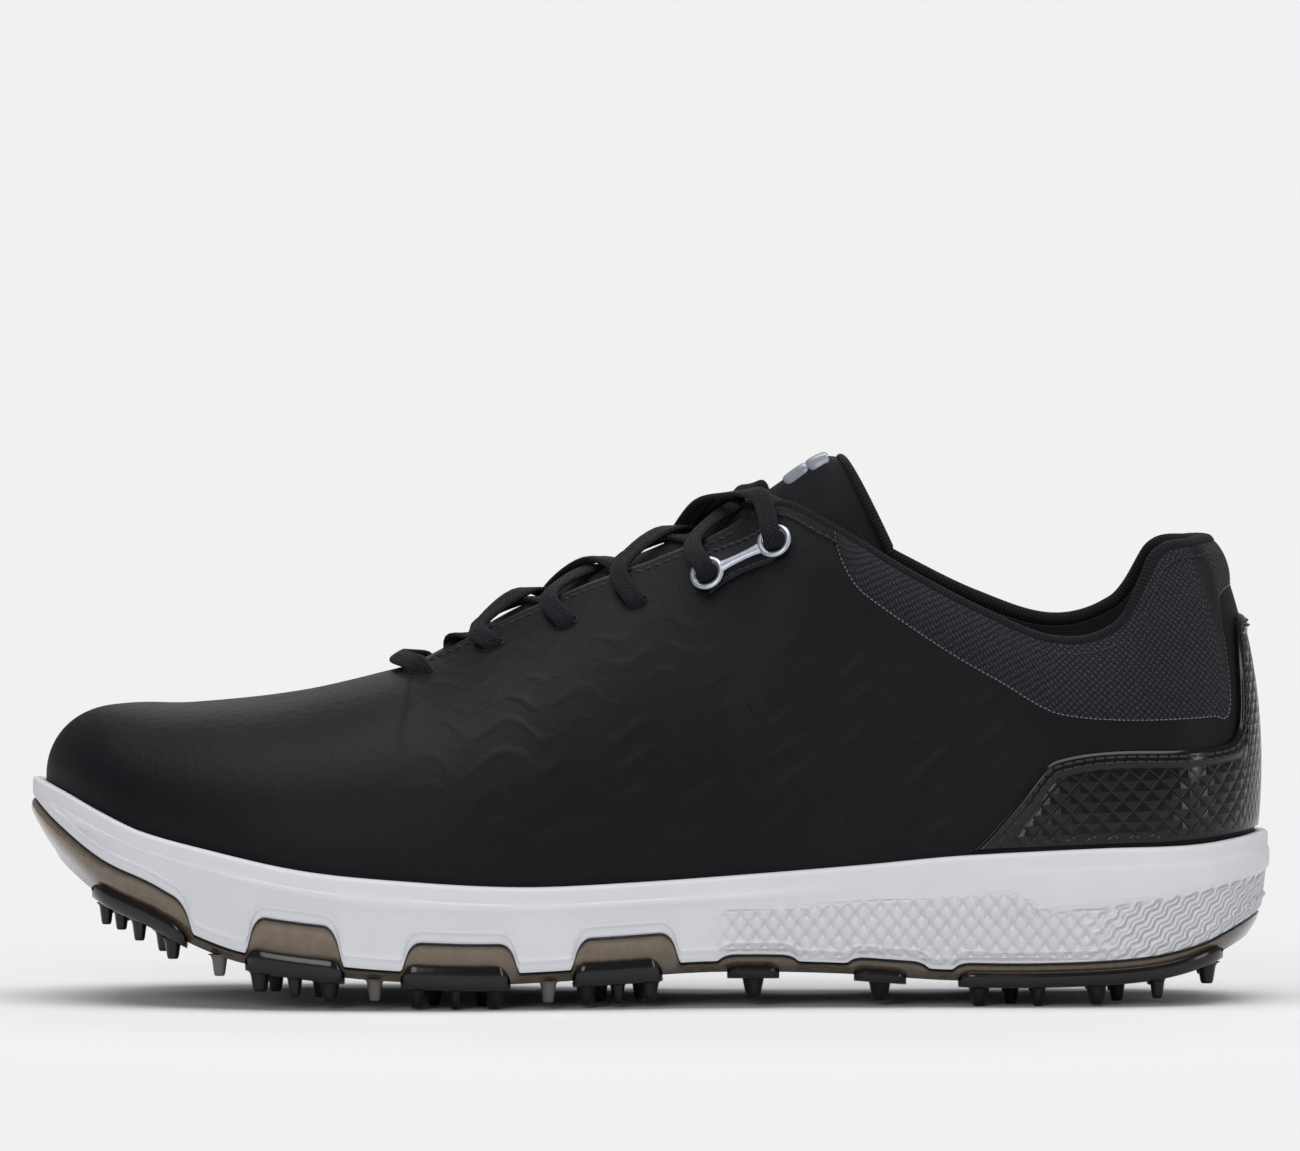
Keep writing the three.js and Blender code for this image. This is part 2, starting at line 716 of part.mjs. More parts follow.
function liningGeometry(cuts) {
  const throatLow = 0.77;
  const closeFrom = 0.745;
  const high = (u) => {
    const place = Math.abs(u);
    if (place >= closeFrom) return 1;
    const throat = mix(throatLow, 0.9, smooth(0.7, closeFrom, place));
    return mix(collarTop(u), throat, smooth(0.36, 0.4, place));
  };
  const places = [
    ...rearPlaces, 0.38, 0.41, 0.435, 0.46, 0.5, 0.55, 0.6, 0.65, 0.7, 0.74,
    closeFrom, 0.78, 0.81, 0.84, ...toePlaces,
  ];
  const body = layerSolid({
    stations: mirrored(places),
    closed: true,
    rows: (u) => [onStrobel, 0, 0.25, ...spread(0.5, high(u), 4)],
    outer: liningDepth,
    inner: (u, v) => liningDepth(u, v) + liningThickness,
    stitchFrom: closeFrom,
  });
  return cut(body, cuts);
}

function counterGeometry() {
  return layerSolid({
    stations: mirrored(rearPlaces.filter((u) => u < 0.2)),
    rows: () => [onStrobel, ...spread(0, 0.46, 3)],
    outer: () => ribDepth + gap,
    inner: () => ribDepth + stiffenerThickness,
  });
}

function toePuffGeometry() {
  return layerSolid({
    stations: [...toePlaces, ...toePlaces.slice(0, -1).map((u) => 2 - u).reverse()],
    rows: () => [onStrobel, ...spread(0, 0.82, 5)],
    outer: () => ribDepth + gap,
    inner: () => ribDepth + stiffenerThickness,
  });
}

function heelOverlayGeometry() {
  const stations = mirrored(rearPlaces.filter((u) => u < 0.28));
  return layerSolid({
    stations,
    rows: (u) => spread(0.02, atHeight(u, overlayHighEdge(u)), 4),
    outer: () => -gap - overlayThickness,
    inner: () => -gap,
  });
}

function eyestayGeometry(side, cuts) {
  const reach = 14.5;
  const body = layerSolid({
    stations: throatPlaces.slice(1, -2).map((u) => side * u),
    rows: (u) => spread(fromTop(u, reach), throatTop(u), 3),
    outer: () => ribDepth + 2 * gap,
    inner: () => ribDepth + stiffenerThickness + gap,
  });
  return cut(body, cuts);
}

function bindingGeometry() {
  const stations = mirrored([...rearPlaces, meshEnd, 0.395, 0.42, bindingEnd]);
  const frames = stations.map((u) => {
    const v = fromTop(u, bindingRadius);
    const across = inwardNormal(u, v);
    const run = surface(u + 0.004, v).sub(surface(u - 0.004, v)).normalize();
    return { place: layer(u, v, bindingRadius), across, up: run.cross(across) };
  });
  return sweep(frames, roundSection(bindingRadius, 6));
}

// A fine rolled edge round the throat; grown by a clearance it trims what lies under it.
function pipingGeometry(clearance) {
  const half = throatPlaces.slice(0, -1);
  const place = (u) => layer(u, fromTop(u, pipingRadius), pipingRadius);
  const front = layer(throatFront, 1, pipingRadius);
  front.x += pipingRadius;
  const places = [...half.map((u) => place(-u)), front, ...half.map((u) => place(u)).reverse()];
  const hints = places.map(() => vec(0, 0, 1));
  return sweep(framesAlong(places, hints), roundSection(pipingRadius + clearance, 6));
}

// ---------------------------------------------------------------- tongue

// The tongue's middle line: [share along, x as a share of the length, height as a share of the
// quarter's height, half width, fall towards the sides per square millimetre, thickness].
const tongueRows = [
  [0, -0.213, 0.625, 13, 0.02, 2],
  [0.06, -0.19, 0.643, 14, 0.03, 2.2],
  [0.13, -0.16, 0.683, 16, 0.04, 2.8],
  [0.22, -0.127, 0.746, 17, 0.04, 3.4],
  [0.38, -0.06, 0.826, 18.5, 0.036, 4],
  [0.54, 0.008, 0.895, 19, 0.03, 4],
  [0.68, 0.06, 0.952, 19, 0.032, 4.5],
  [0.78, 0.093, 1.0, 19, 0.038, 5.2],
  [0.9, 0.13, 1.062, 20, 0.045, 6],
  [1, 0.152, 1.084, 18, 0.05, 5.4],
];
const hingeShare = 0.76;
const hingeGapShare = 0.012;
const hingeCurl = 0.02;
// The height over the quarter's share at which the tongue would rest on a bare shell.
const tongueSeat = 1.8;

function tongueMiddle(s) {
  const [x, z, halfWidth, fall, thickness] = along(tongueRows, s);
  const height = z * quarterHeight + tongueSeat - shellThickness;
  return { place: vec(x * shoeLength, 0, height), halfWidth, fall, thickness };
}

function tonguePlace(s, w, depthShare) {
  const step = 0.01;
  const { place, halfWidth, fall, thickness } = tongueMiddle(s);
  const ahead = tongueMiddle(Math.min(1, s + step)).place;
  const run = ahead.sub(tongueMiddle(Math.max(0, s - step)).place).normalize();
  const down = vec(run.z, 0, -run.x);
  const y = w * halfWidth;
  const side = vec(0, -2 * fall * y, 0).add(down).normalize();
  return place.clone()
    .add(vec(0, y, 0))
    .addScaledVector(down, fall * y * y)
    .addScaledVector(side, depthShare * thickness * (1 - 0.4 * w * w));
}

// A curved plate from a grid whose entries are [outer place, inner place].
function plateSolid(grid) {
  const steps = grid.length - 1;
  const last = grid[0].length - 1;
  const id = (i, j, side) => (i * (last + 1) + j) * 2 + side;
  const faces = [];
  for (let i = 0; i < steps; i += 1) {
    for (let j = 0; j < last; j += 1) {
      faces.push(...quad(id(i, j, 0), id(i + 1, j, 0), id(i + 1, j + 1, 0), id(i, j + 1, 0)));
      faces.push(...quad(id(i, j, 1), id(i, j + 1, 1), id(i + 1, j + 1, 1), id(i + 1, j, 1)));
    }
    faces.push(...quad(id(i, 0, 0), id(i, 0, 1), id(i + 1, 0, 1), id(i + 1, 0, 0)));
    faces.push(...quad(id(i, last, 0), id(i + 1, last, 0), id(i + 1, last, 1), id(i, last, 1)));
  }
  for (let j = 0; j < last; j += 1) {
    faces.push(...quad(id(0, j, 0), id(0, j + 1, 0), id(0, j + 1, 1), id(0, j, 1)));
    const [near, far] = [id(steps, j + 1, 1), id(steps, j + 1, 0)];
    faces.push(...quad(id(steps, j, 0), id(steps, j, 1), near, far));
  }
  return solid(grid.flat(2), faces);
}

function tongueGeometry(from, to, steps, curl, cuts) {
  const widths = spread(-1, 1, 8);
  const grid = spread(0, 1, steps).map((t) => widths.map((w) => {
    const s = mix(from + curl * w * w, to, t);
    return [tonguePlace(s, w, 0), tonguePlace(s, w, 1)];
  }));
  return cut(plateSolid(grid), cuts);
}

const badgeMiddle = 0.9;
const badgeReach = 0.06;
const badgeHalfWidth = 0.42;

function badgeGeometry() {
  const stations = spread(badgeMiddle - badgeReach, badgeMiddle + badgeReach, 6);
  const widths = spread(-badgeHalfWidth, badgeHalfWidth, 6);
  const lift = (s, w, height) => {
    const top = tonguePlace(s, w, 0);
    const under = tonguePlace(s, w, 1);
    return top.clone().addScaledVector(top.clone().sub(under).normalize(), height);
  };
  const endWidth = 0.08;
  const oval = (s) => Math.sqrt(Math.max(endWidth, 1 - ((s - badgeMiddle) / badgeReach) ** 2));
  return plateSolid(stations.map((s) => widths.map((w) => [
    lift(s, w * oval(s), gap + badgeThickness), lift(s, w * oval(s), gap),
  ])));
}

// ---------------------------------------------------------------- lace

// Lace rows from the toe end: [u, distance down from the edge]. The last two are rings.
const laceRows = [[0.672, 8], [0.617, 9], [0.562, 11], [0.512, 12], [0.462, 12.5], [0.42, 13.5]];
const firstRing = 4;
const insideDepth = ribDepth + stiffenerThickness + 3 * gap + laceThickness / 2;
const outsideDepth = -(1.5 * gap + laceThickness / 2);
const patchDepth = -gap - linkPatchThickness;
const linkDepth = patchDepth - 2.4 * gap;
const linkRise = 1.6;
const overLink = linkDepth - linkThickness - gap - laceThickness / 2 - linkRise;
const overBinding = outsideDepth - bindingRadius;
const underBinding = 2 * (bindingRadius + gap) + laceThickness / 2;
const edgeShare = 0.995;
const firstPassPlace = 0.655;
const edgeStep = 0.006;
const vampPlace = 0.705;

function rowPlace(row, side, depth) {
  const [u, distance] = laceRows[row];
  return layer(side * u, fromTop(side * u, distance), depth);
}

// The height of the tongue's face on the middle line at an x.
function tongueTop(x) {
  let low = 0;
  let high = 1;
  for (let i = 0; i < 30; i += 1) {
    const middle = (low + high) / 2;
    if (tongueMiddle(middle).place.x < x) low = middle;
    else high = middle;
  }
  return tongueMiddle(low).place.z;
}

// The lace's width lies along the edge where it runs through the upper.
function edgeRun(u, side) {
  const step = 0.01;
  return topLine(side * (u - step)).sub(topLine(side * (u + step))).normalize();
}

// Half of the lace, from its first slot beside the vamp to where it leaves the last ring: in
// through the first slot, then across the tongue, under the edge and out, row after row.
function halfLace(firstSide, level) {
  const stack = laceThickness / 2 + gap + level * (laceThickness + 2 * gap);
  const last = laceRows.length - 1;
  let side = firstSide;
  const line = [];
  const atRow = (row, depth) =>
    line.push({ place: rowPlace(row, side, depth), hint: edgeRun(laceRows[row][0], side) });
  const atEdge = (u, depth) =>
    line.push({ place: layer(side * u, edgeShare, depth), hint: edgeRun(u, side) });
  atRow(0, outsideDepth);
  atRow(0, insideDepth);
  atEdge(firstPassPlace, insideDepth);
  for (let row = 1; row <= last; row += 1) {
    const [u] = laceRows[row];
    const before = topLine(side * laceRows[row - 1][0]).x;
    side = -side;
    const x = (before + topLine(side * u).x) / 2;
    line.push({ place: vec(x, 0, tongueTop(x) + stack), hint: vec(1, 0, 0) });
    atEdge(u, row < last ? insideDepth : underBinding);
    atRow(row, insideDepth);
    atRow(row, row < firstRing ? outsideDepth : overLink);
    atEdge(u + edgeStep, row < last ? outsideDepth - gap : overBinding);
  }
  return line;
}

// The outer end crosses the tongue and tucks in on the inner side; the inner end tucks in on
// its own side. Both hang beside the tongue and lie along the insole towards the toe.
const outerTail = [
  vec(19, -8, 122.5), vec(12, 4, 119.5), vec(5, 12.4, 107.8), vec(6, 16.8, 100.6), vec(9, 22.5, 86),
  vec(12, 24, 60), vec(8, 20, 42), vec(-10, 14, 36.4), vec(-40, 12, 35.6), vec(-62, 14, 36.2),
];
const innerTail = [
  vec(22.5, 17.8, 121.8), vec(19.4, 15, 114.4), vec(20, 19.6, 107.5), vec(22, 22.6, 98),
  vec(25, 26, 80), vec(24, 24.5, 60), vec(18, 12, 42), vec(0, 2, 36.4), vec(-26, -2, 35.2),
  vec(-50, -4, 35.4),
];

function laceLine() {
  const vamp = layer(vampPlace, 1, outsideDepth);
  const bar = [4, -4].map((y) => ({ place: vamp.clone().setY(y), hint: vec(1, 0, 0) }));
  const standing = 6;
  const tail = (places) => places.map((place, i) => (
    { place, hint: i < standing ? vec(1, 0, 0) : vec(0, 1, 0) }));
  const line = [
    ...tail(outerTail).reverse(), ...halfLace(medial, 1).reverse(), ...bar,
    ...halfLace(lateral, 0), ...tail(innerTail),
  ];
  return { places: line.map(({ place }) => place), hints: line.map(({ hint }) => hint) };
}

// The lace's flat section with rounded edges, grown by a clearance.
function laceSection(clearance) {
  const half = laceWidth / 2 + clearance;
  const thick = laceThickness / 2 + clearance;
  const inner = laceWidth * 0.35 + clearance;
  const side = laceThickness * 0.18 + clearance;
  return [
    [half, side], [inner, thick], [-inner, thick], [-half, side],
    [-half, -side], [-inner, -thick], [inner, -thick], [half, -side],
  ];
}

function laceGeometry() {
  const { places, hints } = laceLine();
  return sweep(framesAlong(places, hints), laceSection(0));
}

// The room that the lace presses into the tongue, one stretch at a time.
function laceGrooves() {
  const { places, hints } = laceLine();
  const frames = framesAlong(places, hints);
  return frames.slice(1).map((frame, i) => sweep([frames[i], frame], laceSection(gap)));
}

// The slots that the lace runs through on one side of the throat.
function laceSlots(side) {
  const half = laceWidth / 2 + gap;
  const thick = laceThickness / 2 + gap;
  const slot = [[half, thick], [-half, thick], [-half, -thick], [half, -thick]];
  return laceRows.slice(0, firstRing).map((_, row) => {
    const places = [rowPlace(row, side, insideDepth + 1), rowPlace(row, side, outsideDepth - 1)];
    const hint = edgeRun(laceRows[row][0], side);
    return sweep(framesAlong(places, [hint, hint]), slot);
  });
}

// The moulded tip on an end of the lace, in line with its last stretch.
function laceTipGeometry(end, before) {
  const run = end.clone().sub(before).normalize();
  const geometry = new THREE.CylinderGeometry(tipRadius, tipRadius, tipLength, 8);
  const turn = new THREE.Quaternion().setFromUnitVectors(vec(0, 1, 0), run);
  geometry.applyQuaternion(turn);
  const middle = end.clone().addScaledVector(run, gap + tipLength / 2);
  geometry.translate(middle.x, middle.y, middle.z);
  return geometry;
}

// ---------------------------------------------------------------- lace links

// A cylinder along the line from one place to another.
function rod(from, to, radius, sides = 10) {
  const geometry = new THREE.CylinderGeometry(radius, radius, from.distanceTo(to), sides);
  const run = to.clone().sub(from).normalize();
  geometry.applyQuaternion(new THREE.Quaternion().setFromUnitVectors(vec(0, 1, 0), run));
  const middle = from.clone().add(to).multiplyScalar(0.5);
  geometry.translate(middle.x, middle.y, middle.z);
  return geometry;
}

const ringRows = [firstRing, firstRing + 1];

// Holes along the surface's normal at both rings.
function ringHoles(side, radius) {
  const reach = 8;
  return ringRows.map((row) => rod(rowPlace(row, side, -reach), rowPlace(row, side, reach), radius));
}

// Two rings joined by a bar, flat, resting over the patch.
function linkGeometry(side) {
  const [front, back] = ringRows.map((row) => rowPlace(row, side, linkDepth));
  const run = back.clone().sub(front).normalize();
  const out = ringRows.map((row) => rowPlace(row, side, -1).sub(rowPlace(row, side, 0)))
    .reduce((a, b) => a.add(b)).normalize();
  const face = out.addScaledVector(run, -out.dot(run)).normalize();
  const lift = (place, height) => place.clone().addScaledVector(face, height);
  const rings = [front, back].map((place) => rod(place, lift(place, linkThickness), linkRadius));
  const across = face.clone().cross(run);
  const bar = sweep(
    [front, back].map((place) => ({ place, across, up: face })),
    [[-linkBarWidth / 2, 0.1], [linkBarWidth / 2, 0.1],
      [linkBarWidth / 2, linkThickness - 0.1], [-linkBarWidth / 2, linkThickness - 0.1]],
  );
  const holes = [front, back].map((place) =>
    rod(lift(place, -linkThickness), lift(place, 2 * linkThickness), linkHoleRadius));
  return cut(join([...rings, bar]), holes);
}

// The patch round both rings, sewn to the outside of the upper.
function linkPatchGeometry(side) {
  const reach = linkRadius + linkPatchMargin;
  const perUnit = shoeLength * 1.15;
  const [[uFront, frontDistance], [uBack, backDistance]] = ringRows.map((row) => laceRows[row]);
  const margin = (reach - 0.4) / perUnit;
  const stations = spread(side * (uBack - margin), side * (uFront + margin), 10);
  const rows = (u) => {
    const place = Math.abs(u);
    const share = clamp01((place - uBack) / (uFront - uBack));
    const beyond = Math.max(uBack - place, place - uFront, 0) * perUnit;
    const half = Math.sqrt(Math.max(1, reach * reach - beyond * beyond));
    const middle = mix(backDistance, frontDistance, share);
    return spread(fromTop(u, middle + half), fromTop(u, middle - half), 2);
  };
  const body = layerSolid({ stations, rows, outer: () => patchDepth, inner: () => -gap });
  return cut(body, ringHoles(side, linkHoleRadius + gap));
}

// ---------------------------------------------------------------- assembly

const look = (color, roughness, metalness = 0) =>
  new THREE.MeshStandardMaterial({ color, roughness, metalness });

const shoe = new THREE.Group();

function add(name, geometry, material) {
  const mesh = new THREE.Mesh(geometry, material);
  mesh.name = name;
  shoe.add(mesh);
}

const sides = [[lateral, 'lateral'], [medial, 'medial']];
const grooves = laceGrooves();
const throatTrim = pipingGeometry(gap);
const holesAt = (side) => [...laceSlots(side), ...ringHoles(side, linkHoleRadius + gap)];
const { places: laceRun } = laceLine();
const liningInner = featherInset + liningBase + liningThickness;

add('outsole', outsoleGeometry(), look(0x4a423c, 0.25));
add('midsole', midsoleGeometry(), look(0xd4d6de, 0.6));
add('shank', shankGeometry(0), look(0x303030, 0.5));
const strobelInset = featherInset + ribDepth + gap;
add('strobel_board', footbedLayer(strobelInset, footbedGap, strobelThickness), look(0xd8d4c8, 0.9));
add('insole', footbedLayer(liningInner + footbedGap, insoleBase, insoleThickness), look(0x222428, 0.9));
for (const pod of pods) {
  for (const [side, word] of sides) {
    add(`${pod.name}_${word}`, podGeometry({ ...pod, side }), look(0x15161a, 0.35));
  }
}
const shellCuts = [throatTrim, ...holesAt(lateral), ...holesAt(medial)];
add('upper_shell', shellGeometry(shellCuts), look(0x1c1e22, 0.7));
add('collar_mesh', collarMeshGeometry(), look(0x202226, 0.9));
add('collar_padding', collarPaddingGeometry(), look(0xc8c8b8, 0.95));
add('lining', liningGeometry([]), look(0x1a1b1e, 0.95));
add('heel_counter', counterGeometry(), look(0x999080, 0.7));
add('toe_puff', toePuffGeometry(), look(0x999080, 0.7));
add('heel_overlay', heelOverlayGeometry(), look(0x0c0d10, 0.2));
add('collar_binding', bindingGeometry(), look(0x17181b, 0.9));
add('throat_piping', pipingGeometry(0), look(0x101114, 0.3));
for (const [side, word] of sides) {
  add(`eyestay_backing_${word}`, eyestayGeometry(side, holesAt(side)), look(0x8c8878, 0.8));
  add(`link_patch_${word}`, linkPatchGeometry(side), look(0x15161a, 0.8));
  add(`lace_link_${word}`, linkGeometry(side), look(0xc0c4cc, 0.25, 1));
}
add('tongue_lower', tongueGeometry(0, hingeShare, 12, 0, grooves), look(0x1a1b1e, 0.9));
add('tongue_top', tongueGeometry(hingeShare + hingeGapShare, 1, 7, hingeCurl, grooves), look(0x1a1b1e, 0.9));
add('tongue_badge', badgeGeometry(), look(0x8890a0, 0.5));
add('lace', laceGeometry(), look(0x121317, 0.85));
add('lace_tip_lateral', laceTipGeometry(laceRun[0], laceRun[1]), look(0x101014, 0.3));
add('lace_tip_medial', laceTipGeometry(laceRun.at(-1), laceRun.at(-2)), look(0x101014, 0.3));

export default shoe;
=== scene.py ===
"""Golf shoe for the left foot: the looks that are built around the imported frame.

Lengths are in millimetres until a mesh is made. A place on the upper is (u, v): u runs round
the sole's outline from the toe (-1) along the outer side to the heel (0) and back along the
inner side to the toe (+1), and v runs up from the sole (0) to the top edge (1).
"""

import json
import math

import bmesh
import bpy
import numpy as np
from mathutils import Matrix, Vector

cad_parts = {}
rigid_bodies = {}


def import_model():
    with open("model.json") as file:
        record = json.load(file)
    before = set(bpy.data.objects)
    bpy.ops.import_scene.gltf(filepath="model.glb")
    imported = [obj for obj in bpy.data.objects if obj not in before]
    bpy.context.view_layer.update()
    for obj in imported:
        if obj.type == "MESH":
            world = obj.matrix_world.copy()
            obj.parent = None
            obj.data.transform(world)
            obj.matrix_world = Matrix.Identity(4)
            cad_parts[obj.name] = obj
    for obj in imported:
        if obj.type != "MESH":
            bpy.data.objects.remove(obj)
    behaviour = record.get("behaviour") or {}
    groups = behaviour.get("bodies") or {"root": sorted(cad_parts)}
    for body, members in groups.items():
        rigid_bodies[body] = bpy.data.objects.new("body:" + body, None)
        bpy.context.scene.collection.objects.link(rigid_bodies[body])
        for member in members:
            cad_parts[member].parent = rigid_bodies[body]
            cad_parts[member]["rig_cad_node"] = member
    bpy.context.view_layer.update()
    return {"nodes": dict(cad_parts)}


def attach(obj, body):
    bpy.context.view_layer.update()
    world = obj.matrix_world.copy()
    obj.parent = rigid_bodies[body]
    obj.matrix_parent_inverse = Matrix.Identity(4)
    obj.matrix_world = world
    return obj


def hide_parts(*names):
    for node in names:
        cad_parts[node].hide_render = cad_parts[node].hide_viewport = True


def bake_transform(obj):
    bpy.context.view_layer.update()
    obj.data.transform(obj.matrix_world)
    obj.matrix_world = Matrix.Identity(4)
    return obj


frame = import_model()

MM = 0.001

# ---------------------------------------------------------------- driving dimensions

SHOE_LENGTH = 300
BALL_WIDTH = 110
HEEL_WIDTH = 79
COLLAR_WIDTH = 59
QUARTER_HEIGHT = 123
GAP = 0.3

PLATE = 2.2
WALL = 1.8
PAD = 1.2
LUG_HEIGHT = 4.65
RIM = 3
RIM_HEIGHT = 5.5
STROBEL = 1.5
INSOLE = 4
FOOTBED_GAP = 0.6
WALL_GAP = 0.4
POD_GAP = 0.45

SHELL = 1.8
STIFFENER = 1
LINING = 1
PADDING = 5
OVERLAY = 1.2
BINDING_RADIUS = 2
PIPING_RADIUS = 0.8

LACE_WIDTH = 4.8
LACE_THICKNESS = 1.5
TIP_LENGTH = 20
TIP_RADIUS = 1.4
LINK_HOLE = 2.9
LINK_RADIUS = 4
LINK_BAR = 2
LINK_THICKNESS = 1.2
PATCH_MARGIN = 2.2
PATCH = 0.8
BADGE = 1

# ---------------------------------------------------------------- outlines of the shoe

OUTLINE = [
    (0, 0.5, 0, 0), (0.06, 0.4817, 0.5, 0.49), (0.12, 0.431, 0.85, 0.82), (0.2, 0.343, 1, 0.96),
    (0.3, 0.23, 0.99, 0.89), (0.42, 0.093, 0.91, 0.74), (0.54, -0.043, 0.93, 0.79),
    (0.66, -0.18, 0.995, 0.95), (0.76, -0.293, 0.945, 1), (0.85, -0.39, 0.745, 0.885),
    (0.93, -0.463, 0.4, 0.565), (1, -0.5, -0.11, 0.11),
]
TOP = [
    (0, 0.4533, 0, 0.922, 0.922), (0.05, 0.438, 0.475, 0.918, 0.918), (0.1, 0.407, 0.73, 0.895, 0.9),
    (0.15, 0.373, 0.865, 0.756, 0.79), (0.2, 0.327, 0.966, 0.731, 0.756),
    (0.26, 0.267, 0.983, 0.789, 0.8), (0.32, 0.207, 0.932, 0.866, 0.872),
    (0.38, 0.14, 0.83, 0.963, 0.963), (0.42, 0.1, 0.72, 0.996, 0.996), (0.45, 0.06, 0.63, 0.935, 0.935),
    (0.49, 0.01, 0.56, 0.882, 0.882), (0.55, -0.06, 0.49, 0.817, 0.817),
    (0.61, -0.123, 0.4, 0.748, 0.748), (0.66, -0.173, 0.27, 0.683, 0.683),
    (0.68, -0.189, 0.14, 0.664, 0.664), (0.69, -0.193, 0, 0.659, 0.659), (0.76, -0.277, 0, 0.61, 0.61),
    (0.85, -0.36, 0, 0.585, 0.585), (0.92, -0.403, 0, 0.584, 0.584), (1, -0.423, 0, 0.581, 0.581),
]
RIBS = [
    (0, 6, 67, 0.36, 0.34), (0.1, 5, 72, 0.36, 0.34), (0.2, 2, 70, 0.36, 0.34),
    (0.32, 1, 64, 0.36, 0.34), (0.42, 2, 52, 0.36, 0.34), (0.49, 5, 42, 0.36, 0.36),
    (0.55, 8, 36, 0.36, 0.38), (0.61, 11, 28, 0.36, 0.4), (0.66, 14, 15, 0.34, 0.42),
    (0.69, 14, 0, 0.34, 0.43), (0.76, 14, 0, 0.34, 0.46), (0.85, 10, 0, 0.33, 0.48),
    (1, 4, 0, 0.33, 0.52),
]
RIM_TOP = [
    (-0.5, 54), (-0.473, 51), (-0.442, 46.6), (-0.41, 42.5), (-0.362, 38.9), (-0.28, 33.8),
    (-0.2, 31.4), (-0.1, 29.8), (-0.01, 30.7), (0.09, 32.6), (0.17, 34.5), (0.25, 36.7),
    (0.36, 38.4), (0.44, 39), (0.5, 41.3),
]
PLATE_BOTTOM = [
    (-0.5, 40), (-0.482, 34.8), (-0.442, 26), (-0.402, 20.8), (-0.366, 15.2), (-0.325, 11.1),
    (-0.245, 8), (-0.18, 6.7), (-0.12, 6.3), (-0.04, 7.3), (0.05, 8.7), (0.15, 8.2),
    (0.24, 6.5), (0.32, 6.3), (0.4, 7.6), (0.443, 10.4), (0.475, 14.7), (0.5, 18.5),
]
WINDOWS = [
    (-0.6, -0.366, 9.5), (-0.325, -0.245, 12.3), (-0.2, -0.104, 10), (-0.064, 0.025, 10.3),
    (0.053, 0.121, 4.4), (0.157, 0.226, 4.4), (0.242, 0.6, 4.6),
]
WINDOW_RAMP = 5.5

# ---------------------------------------------------------------- small mathematics


def mix(a, b, t):
    return a + (b - a) * t


def smooth(low, high, t):
    s = np.clip((np.asarray(t, float) - low) / (high - low), 0, 1)
    return s * s * (3 - 2 * s)


def unit(a):
    return a / np.maximum(np.linalg.norm(a, axis=-1, keepdims=True), 1e-12)


def vec(x, y, z):
    return np.stack(np.broadcast_arrays(np.asarray(x, float), y, z), axis=-1)


def along(rows, t):
    """A smooth curve through the rows, whose first entry is the place along it."""
    table = np.array(rows, float)
    places, values = table[:, 0], table[:, 1:]
    t = np.asarray(t, float)
    last = len(rows) - 1
    i = np.clip(np.searchsorted(places, t, side="left") - 1, 0, last - 1)
    before, after = np.maximum(i - 1, 0), np.minimum(i + 2, last)
    width = (places[i + 1] - places[i])[..., None]
    s = np.clip((t - places[i])[..., None] / width, 0, 1)
    value, following = values[i], values[i + 1]
    slope_a = (following - values[before]) / (places[i + 1] - places[before])[..., None] * width
    slope_b = (values[after] - value) / (places[after] - places[i])[..., None] * width
    bend = s * s * (3 - 2 * s)
    return mix(value, following, bend) + s * (1 - s) ** 2 * slope_a - s * s * (1 - s) * slope_b


def wrap(u):
    return (np.asarray(u, float) + 1) % 2 - 1


def rim_top(x):
    return along(RIM_TOP, np.asarray(x) / SHOE_LENGTH)[..., 0]


def bed_height(x):
    return rim_top(x) - RIM_HEIGHT


def plate_bottom(x):
    return along(PLATE_BOTTOM, np.asarray(x) / SHOE_LENGTH)[..., 0]


def plate_top(x):
    return plate_bottom(x) + PLATE


def wall_top(x):
    """Where the outsole's wall ends and the midsole's skin begins."""
    lobe = PLATE + 2 * GAP
    rise = np.full(np.shape(x), lobe, float)
    for start, end, height in WINDOWS:
        from_end = np.minimum(x - start * SHOE_LENGTH, end * SHOE_LENGTH - x) / WINDOW_RAMP
        t = np.clip(from_end, 0, 1)
        rounded = (1 - (1 - t) ** 2.6) * smooth(0, 0.35, t) ** 0.5
        rise = np.maximum(rise, mix(lobe, height, rounded))
    return plate_bottom(x) + rise


def side_table(column):
    rows = [(row[0], row[1], row[column]) for row in OUTLINE]
    other = 5 - column
    heel = (-rows[1][0], rows[1][1], -OUTLINE[1][other])
    toe = (2 - rows[10][0], rows[10][1], -OUTLINE[10][other])
    return [heel, *rows, toe]


LATERAL_SIDE, MEDIAL_SIDE = side_table(2), side_table(3)


def raw_outline(u):
    u = np.asarray(u, float)
    size = np.abs(u)
    outer, inner = along(LATERAL_SIDE, size), along(MEDIAL_SIDE, size)
    found = np.where((u < 0)[..., None], outer, inner)
    half = mix(HEEL_WIDTH, BALL_WIDTH, smooth(0.25, 0.65, size)) / 2
    side = np.where(u < 0, -1.0, 1.0)
    return vec(found[..., 0] * SHOE_LENGTH, side * found[..., 1] * half, 0)


outline_samples = raw_outline(np.linspace(-1, 1, 401))
SIDE_SHIFT = (outline_samples[:, 1].max() + outline_samples[:, 1].min()) / 2


def inward(u):
    step = 0.004
    run = unit(raw_outline(wrap(u + step)) - raw_outline(wrap(u - step)))
    return vec(-run[..., 1], run[..., 0], 0)


def outline(u, inset):
    place = raw_outline(u) + inward(u) * np.asarray(inset, float)[..., None]
    place[..., 1] -= SIDE_SHIFT
    return place


# ---------------------------------------------------------------- the last's surface

FEATHER = RIM + GAP
THROAT_FRONT = 0.69
STEEPEST_EDGE = 0.4
TOE_BIAS = 4


def top_table(column):
    rows = [(row[0], row[1], row[2], row[column]) for row in TOP]
    return [(-rows[1][0], rows[1][1], -rows[1][2], rows[1][3]), *rows]


LATERAL_TOP, MEDIAL_TOP = top_table(3), top_table(4)


